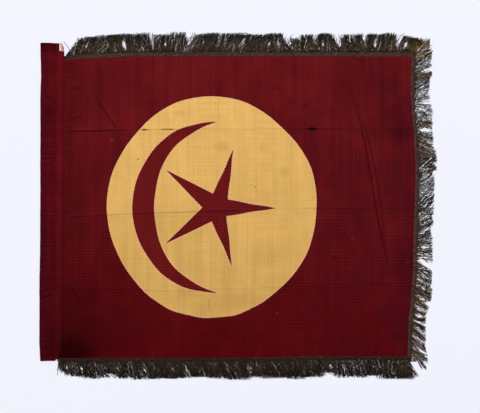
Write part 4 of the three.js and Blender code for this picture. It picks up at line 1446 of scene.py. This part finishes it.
class FLAG_OT_fringe(bpy.types.Operator):
    """Builds the three lengths of metal fringe"""

    bl_idname = "flag.fringe"
    bl_label = "Build Fringe"

    def execute(self, context):
        settings = context.scene.flag_fringe
        colours = [rgba(settings.dark), rgba(settings.silver), rgba(settings.gilt)]
        woven = {"turns": 1.6, "roughness": 0.6}
        header_colours, stitch_colours = [rgba(settings.header)] * 3, [rgba(settings.stitching)] * 3
        header_material = thread_material("Woven header", header_colours, metallic=0.1, **woven)
        stitch_material = thread_material("Header stitching", stitch_colours, metallic=0, **woven)
        for name, side in SIDES.items():
            rng = np.random.default_rng(side["seed"])
            skirt_material = thread_material(f"Tarnished strands, {name}", colours, side["mottle"])
            header = self.build_header(name, side, header_material)
            locks = self.locks(side, settings.lock * 1000, rng)
            pieces = [
                self.build_skirt(f"skirt_{name}_{layer}", side, settings, locks, layer, skirt_material)
                for layer in range(SKIRT_LAYERS)
            ]
            pieces.append(self.build_stitches(name, side, rng, stitch_material))
        return {"FINISHED"}

    def build_header(self, name, side, material):
        """The woven header: a band with ribs across it, whose inner edge is lapped on the cloth."""
        length = side["end"] - side["start"]
        along = np.linspace(side["start"], side["end"], int(length / HEADER_STEP))
        out, high = np.transpose([(HEADER_INSET - side["over"], INNER_EDGE_HEIGHT), *HEADER_SECTION])
        ends = [side["start"], side["start"] + HEADER, side["end"] - HEADER, side["end"]]
        corners = [corner for corner, _ in side["fans"]]
        leans = [-1 if ends[0] in corners else 0.25, 0, 0, 1 if ends[3] in corners else -0.25]
        sway = np.interp(along, ends, leans)
        places = along[:, None] + out * sway[:, None]
        wave = 0.25 * np.sin(along / 9)[:, None]
        x, y = side["beyond"](places, out + wave)
        across_ribs = np.sin(np.pi * np.arange(len(out)) / (len(out) - 1))
        ribs = 0.14 * np.sin(along * 2 * np.pi / HEADER_RIB)[:, None] * across_ribs
        top = np.stack([x, y, high + ribs], axis=-1)
        under = np.where(out < LAP + 0.5, 1.15, 0.4)
        base = np.stack([x, y, np.broadcast_to(under, x.shape)], axis=-1)
        vertices, faces = grid_solid(top, base, turned=True)
        coil = np.broadcast_to(along[:, None] * 1.3 + out, x.shape).ravel()
        speckle = np.random.default_rng(side["seed"] + 1).lognormal(0, 0.4, x.shape)
        # the header darkens to 0.6 of its tone towards its start
        from_sleeve = np.interp(along[:, None], side["darker_span"], [0.6, 1])
        across = np.interp(out, [0, 1, 2.2, 11, 13.3], [1.0, 1.0, 0.95, 0.9, 0.7])
        shade = (across * from_sleeve * speckle * side["band"]).ravel()
        numbers = dict(zip(FRINGE_NUMBERS, (coil, shade, 0 * coil, 0 * coil)))
        numbers = {key: np.tile(values, 2) for key, values in numbers.items()}
        slot = "tarnished_fringe"
        return add_piece(f"header_{name}", vertices, faces, material, slot, [side["node"]], numbers)

    def locks(self, side, width, rng):
        """The locks that a side's strands gather into: where each starts and how it hangs."""
        length = side["end"] - side["start"]
        shares = np.cumsum(rng.uniform(0.5, 1.6, int(length / width)))
        starts = side["start"] + length * np.concatenate([[0], shares / shares[-1]])
        count = len(shares)
        return {
            "starts": starts,
            "middle": (starts[1:] + starts[:-1]) / 2,
            "lean": rng.normal(0, 0.16, count),
            "reach": rng.uniform(0.88, 1.0, count),
            "gather": rng.uniform(0, side["gather"], count),
            "shade": np.exp(rng.normal(0, 0.22, count)),
            "phase": rng.uniform(0, 2 * np.pi, count),
            "curl": rng.uniform(0.4, 1.6, count) * side["curl"],
            "bright": rng.uniform(0.3, 1.7, count),
        }

    def build_skirt(self, name, side, settings, locks, layer, material):
        """One layer of the skirt: twisted strands gathered into locks, with fine loose threads."""
        rng = np.random.default_rng([side["seed"], layer])
        strand = settings.strand * 1000 * side["strand"]
        count = int((side["end"] - side["start"]) / strand * side["layers"] / SKIRT_LAYERS)
        groups = [
            self.strands(side, locks, layer, rng, many, radius)
            for many, radius in ((count, strand / 2), (int(count * FINE_SHARE), strand / 4))
        ]
        if layer == SKIRT_LAYERS - 1:
            groups.extend(self.stray(stray, rng) for stray in side["strays"])
        vertices, faces = [], []
        for paths, radius, _ in groups:
            ring, sides = tubes(paths, radius, STRAND_SIDES)
            faces.extend([i + sum(map(len, vertices)) for i in face] for face in sides)
            vertices.append(ring)
        numbers = {
            key: np.concatenate([np.repeat(group[2][key], STRAND_SIDES, axis=1).ravel() for group in groups])
            for key in FRINGE_NUMBERS
        }
        return add_piece(name, np.concatenate(vertices), faces, material, "tarnished_fringe", (), numbers)

    def strands(self, side, locks, layer, rng, count, radius):
        """Paths of strands along a side, how thick they are, and numbers for their finish."""

        def each(low, high):
            return rng.uniform(low, high, (count, 1))

        along = each(side["start"] + 1, side["end"] - 1)
        spread = np.zeros((count, 1))
        extra = count // 20
        for i, (corner, inward) in enumerate(side["fans"]):
            fanned = slice(i * extra, (i + 1) * extra)
            along[fanned] = corner + inward * rng.uniform(0, 1, (extra, 1))
            spread[fanned] = -np.sign(inward) * rng.uniform(-0.6, 0.35, (extra, 1))
        number = np.clip(np.searchsorted(locks["starts"], along) - 1, 0, len(locks["middle"]) - 1)
        lock = {key: values[number] for key, values in locks.items() if key != "starts"}
        short = each(0, 1) < SHORT_SHARE
        share = np.where(short, each(0.35, 0.9), 1 - np.abs(rng.normal(0, 0.05, (count, 1))))
        reach = np.maximum(line_at(side["reach"], along) * lock["reach"] * share, HEADER + 3)
        t = np.linspace(0, 1, side["stations"])
        root = HEADER - 1.5 - each(0.5, 4) * (each(0, 1) < 0.4)
        out = root + (reach - root) * t
        free = smooth((out - root) / 14)
        loose = rng.normal(0, side["scatter"], (count, 1))
        waves = lock["phase"] + 5 * loose + 2 * np.pi * out / each(12, 18)
        place = along + (lock["lean"] + loose + spread) * (out - root)
        place = place + lock["gather"] * (lock["middle"] - along) * t**1.4
        place = place + lock["curl"] * each(0.4, 1.3) * np.sin(waves) * free
        place = place + rng.normal(0, 1.6, (count, 1)) * t**4 + line_at(side["sway"], along) * out
        parted = each(0, 1) < PARTED_SHARE
        for gap, half in side["gaps"]:
            far, opened = (1, smooth(1.3 * t)) if half > OPEN_GAP else (0.55, np.sin(np.pi * t**0.9))
            middle = gap + line_at(side["sway"], gap) * line_at(side["reach"], gap) * far
            beside = place[:, [int(far * (len(t) - 1))]] - middle
            push = bell(beside, 2.4 * half) * np.sign(beside) * parted
            place = place + GAP_PUSH * half * push * opened * smooth((out - root) / 12)
        x, y = side["beyond"](place, out)
        depth = (layer + each(0, 1)) / SKIRT_LAYERS
        high = depth * SKIRT_DEPTH * np.sin(np.pi * np.clip(t * 0.9 + 0.05, 0, 1)) ** 0.7
        z = ROOT_HEIGHT - ROOT_DROP * smooth((out - 8) / 14) + high + 0.4 * np.sin(waves * 1.3)
        z = np.maximum(z, radius + 0.05)
        thickness = radius * each(0.75, 1.2) * (1 - 0.15 * smooth((t - 0.75) / 0.25))
        shade = side["tone"] * np.exp(rng.normal(0, side["contrast"], (count, 1))) * lock["shade"]
        shade = shade * (1 + (side["tips"] - 1) * smooth((t - 0.3) / 0.6))
        silver = (each(0, 1) < line_at(side["silver"], along) * 0.7 * lock["bright"]) * each(0.3, 1)
        gilt = (each(0, 1) < line_at(side["gilt"], along) * 0.7 * (2 - lock["bright"])) * each(0.2, 0.75)
        return np.stack([x, y, z], axis=-1), thickness, self.finish(out + waves, shade, silver, gilt)

    def finish(self, coil, shade, silver, gilt):
        """The numbers that the thread's finish takes, one for each point of each thread."""
        values = (coil, np.minimum(shade, 3), silver, gilt)
        return {key: value * np.ones_like(coil) for key, value in zip(FRINGE_NUMBERS, values)}

    def stray(self, listed, rng):
        """Threads that leave the fringe together."""
        points, count, apart, silver, gilt = listed
        fine, _ = resampled(points, 1.5)
        for _ in range(3):
            fine[1:-1] = (fine[:-2] + fine[1:-1] + fine[2:]) / 3
        spots = np.linspace(0, len(fine) - 1, STRAY_STATIONS)
        middle = np.column_stack([np.interp(spots, range(len(fine)), column) for column in fine.T])
        t = np.linspace(0, 1, STRAY_STATIONS)
        flat = middle + rng.normal(0, apart, (count, 1, 2)) * (0.3 + 0.7 * t)[:, None]
        flat = flat + rng.normal(0, 0.25, (count, STRAY_STATIONS, 2))
        z = 3.4 + rng.uniform(0, 1.2, (count, 1)) * np.sin(np.pi * t) - 1.2 * t
        paths = np.concatenate([flat, z[:, :, None]], axis=2)
        thickness = np.full((count, STRAY_STATIONS), STRAY_RADIUS)
        shade = np.exp(rng.normal(0, 0.3, (count, 1)))
        return paths, thickness, self.finish(15 * t + 0 * z, shade, silver, gilt)

    def build_stitches(self, name, side, rng, material):
        """Slanting stitches that hold the header's inner edge down."""
        along = np.arange(side["start"] + 2, side["end"] - 2, HEADER_STITCH_PITCH)
        along = along + rng.normal(0, 0.25, len(along))
        inner = -0.2 - side["over"]
        paths = []
        for share, rise in ((0, 0), (0.5, 0.5), (1, 0)):
            out = inner + 2.2 * share + rng.normal(0, 0.2, len(along))
            x, y = side["beyond"](along + 1.6 * share, out)
            paths.append(np.column_stack([x, y, 1.9 + 0.35 * share + rise + 0 * x]))
        paths = np.stack(paths, axis=1)
        coil = np.repeat(along[:, None], 3, axis=1)
        shade = side["stitch"] * np.exp(rng.normal(0, 0.3, (len(along), 1)))
        numbers = self.finish(coil, shade, 0, 0)
        numbers = {key: np.repeat(values, STITCH_SIDES, axis=1).ravel() for key, values in numbers.items()}
        name, slot = f"header_stitches_{name}", "tarnished_fringe"
        return thread_piece(name, paths, HEADER_STITCH_RADIUS, STITCH_SIDES, material, slot, numbers)


class FLAG_OT_stitching(bpy.types.Operator):
    """Builds the small stitches round the disc, the crescent and the star"""

    bl_idname = "flag.stitching"
    bl_label = "Build Stitching"

    def execute(self, context):
        material = plain_material("Gold thread", colour(0xE6BE8C), 0.4, 0.6)
        outlines = {"disc": disc_outline(), "crescent": crescent_outline(), "star": star_outline()}
        for name, outline in outlines.items():
            inward = -1 if name == "disc" else 1
            self.row(name, outline, inward, material)
        return {"FINISHED"}

    def row(self, name, outline, side, material):
        """A row of overcast stitches along an outline, on the disc's side of it."""
        points = dense(outline, OVERCAST_PITCH)
        ahead = unit(np.roll(points, -1, axis=0) - points)
        outward = rightward(ahead) * side
        paths = []
        for out, slide, rise in ((-0.3, 0, 0.02), (0.6, 0.3, 0.3), (1.5, 0.6, 0.02)):
            flat = points + outward * out + ahead * slide
            ground = lift(*flat.T) + crease_effect(flat, FIELD_FOLDS)[0] + swell(*flat.T)
            paths.append(np.column_stack([flat, ground + CLOTH + rise]))
        paths = np.stack(paths, axis=1)
        thread_piece(f"stitches_{name}", paths, OVERCAST_RADIUS, 4, material, "gold_silk")


# The stage, in metres
LAMPS = [(100, 1.0), (20, 0.75), (175, 0.6), (270, 0.4)]  # (direction, share of the strongest one's power)
LAMP_REACH, LAMP_HEIGHT = 2.0, 1.5  # how far out from the flag's middle a lamp stands, and over it
LAMP_LENGTH, LAMP_WIDTH = 1.6, 1.0
SKY = (0.9, 0.93, 1.0, 1)
SKY_STRENGTH = 0.35
FLOOR_HALF = 6.0  # half the floor's width
FLOOR_GAP = 0.0003  # the floor lies this far under the flag
CAMERA_SHIFT = 0.0033  # the camera stands this far from the middle, towards the fly


class FLAG_OT_stage(bpy.types.Operator):
    """Sets the pale floor, the lamps and the camera"""

    bl_idname = "flag.stage"
    bl_label = "Set Stage"

    def execute(self, context):
        scene = context.scene
        settings = scene.flag_stage
        middle = (cad_box[0] + cad_box[1]) / 2
        self.build_floor(settings)
        world = bpy.data.worlds.new("Studio")
        world.use_nodes = True
        background = world.node_tree.nodes["Background"]
        background.inputs["Color"].default_value = SKY
        background.inputs["Strength"].default_value = SKY_STRENGTH
        scene.world = world
        for azimuth, share in LAMPS:
            self.add_lamp(scene, middle, azimuth, settings.light * share)
        camera = bpy.data.cameras.new("Camera")
        camera.lens = settings.lens
        camera.clip_end = 50
        holder = bpy.data.objects.new("Camera", camera)
        distance = settings.view_width * settings.lens / camera.sensor_width
        holder.location = (middle.x + CAMERA_SHIFT, middle.y, distance)
        scene.collection.objects.link(holder)
        scene.camera = holder
        scene.view_settings.view_transform = "Standard"
        return {"FINISHED"}

    def build_floor(self, settings):
        """A plain pale floor that glows enough to keep its colour even."""
        mesh = bpy.data.meshes.new("floor")
        corners = [(x * FLOOR_HALF, y * FLOOR_HALF, 0) for x, y in ((-1, -1), (1, -1), (1, 1), (-1, 1))]
        mesh.from_pydata(corners, [], [(0, 1, 2, 3)])
        floor = bpy.data.objects.new("floor", mesh)
        floor.location.z = cad_box[0].z - FLOOR_GAP
        material = bpy.data.materials.new("Floor")
        material.use_nodes = True
        shader = material.node_tree.nodes["Principled BSDF"]
        shader.inputs["Base Color"].default_value = [0.16 * c for c in settings.floor] + [1]
        shader.inputs["Roughness"].default_value = 1
        shader.inputs["Specular IOR Level"].default_value = 0
        shader.inputs["Emission Color"].default_value = rgba(settings.floor)
        shader.inputs["Emission Strength"].default_value = 0.84
        mesh.materials.append(material)
        bpy.context.scene.collection.objects.link(floor)

    def add_lamp(self, scene, middle, azimuth, power):
        """A large soft lamp over one side of the flag, turned to its middle."""
        lamp = bpy.data.lights.new("Lamp", "AREA")
        lamp.shape = "RECTANGLE"
        lamp.size, lamp.size_y = LAMP_LENGTH, LAMP_WIDTH
        lamp.energy = power
        holder = bpy.data.objects.new("Lamp", lamp)
        turn = math.radians(azimuth)
        out = Vector((LAMP_REACH * math.cos(turn), LAMP_REACH * math.sin(turn), LAMP_HEIGHT))
        holder.location = middle + out
        holder.rotation_euler = (middle - holder.location).to_track_quat("-Z", "Y").to_euler()
        scene.collection.objects.link(holder)


OPERATORS = [
    FLAG_OT_field, FLAG_OT_devices, FLAG_OT_sleeve, FLAG_OT_fringe, FLAG_OT_stitching, FLAG_OT_stage,
]


class FLAG_PT_panel(bpy.types.Panel):
    """Lists the flag's operators and settings"""

    bl_label = "Fringed Flag"
    bl_idname = "FLAG_PT_panel"
    bl_space_type = "VIEW_3D"
    bl_region_type = "UI"
    bl_category = "Flag"

    def draw(self, context):
        layout = self.layout
        for settings in (context.scene.flag_cloth, context.scene.flag_fringe, context.scene.flag_stage):
            box = layout.box()
            for key in settings.__annotations__:
                box.prop(settings, key)
        for operator in OPERATORS:
            layout.operator(operator.bl_idname)


SETTINGS = {
    "flag_cloth": FlagClothSettings,
    "flag_fringe": FlagFringeSettings,
    "flag_stage": FlagStageSettings,
}


def register():
    for key, group in SETTINGS.items():
        bpy.utils.register_class(group)
        setattr(bpy.types.Scene, key, PointerProperty(type=group))
    for operator in OPERATORS:
        bpy.utils.register_class(operator)
    bpy.utils.register_class(FLAG_PT_panel)


def unregister():
    bpy.utils.unregister_class(FLAG_PT_panel)
    for operator in reversed(OPERATORS):
        bpy.utils.unregister_class(operator)
    for key, group in SETTINGS.items():
        delattr(bpy.types.Scene, key)
        bpy.utils.unregister_class(group)


def main():
    register()
    for step in ("field", "devices", "sleeve", "fringe", "stitching", "stage"):
        getattr(bpy.ops.flag, step)()


if __name__ == "__main__":
    main()
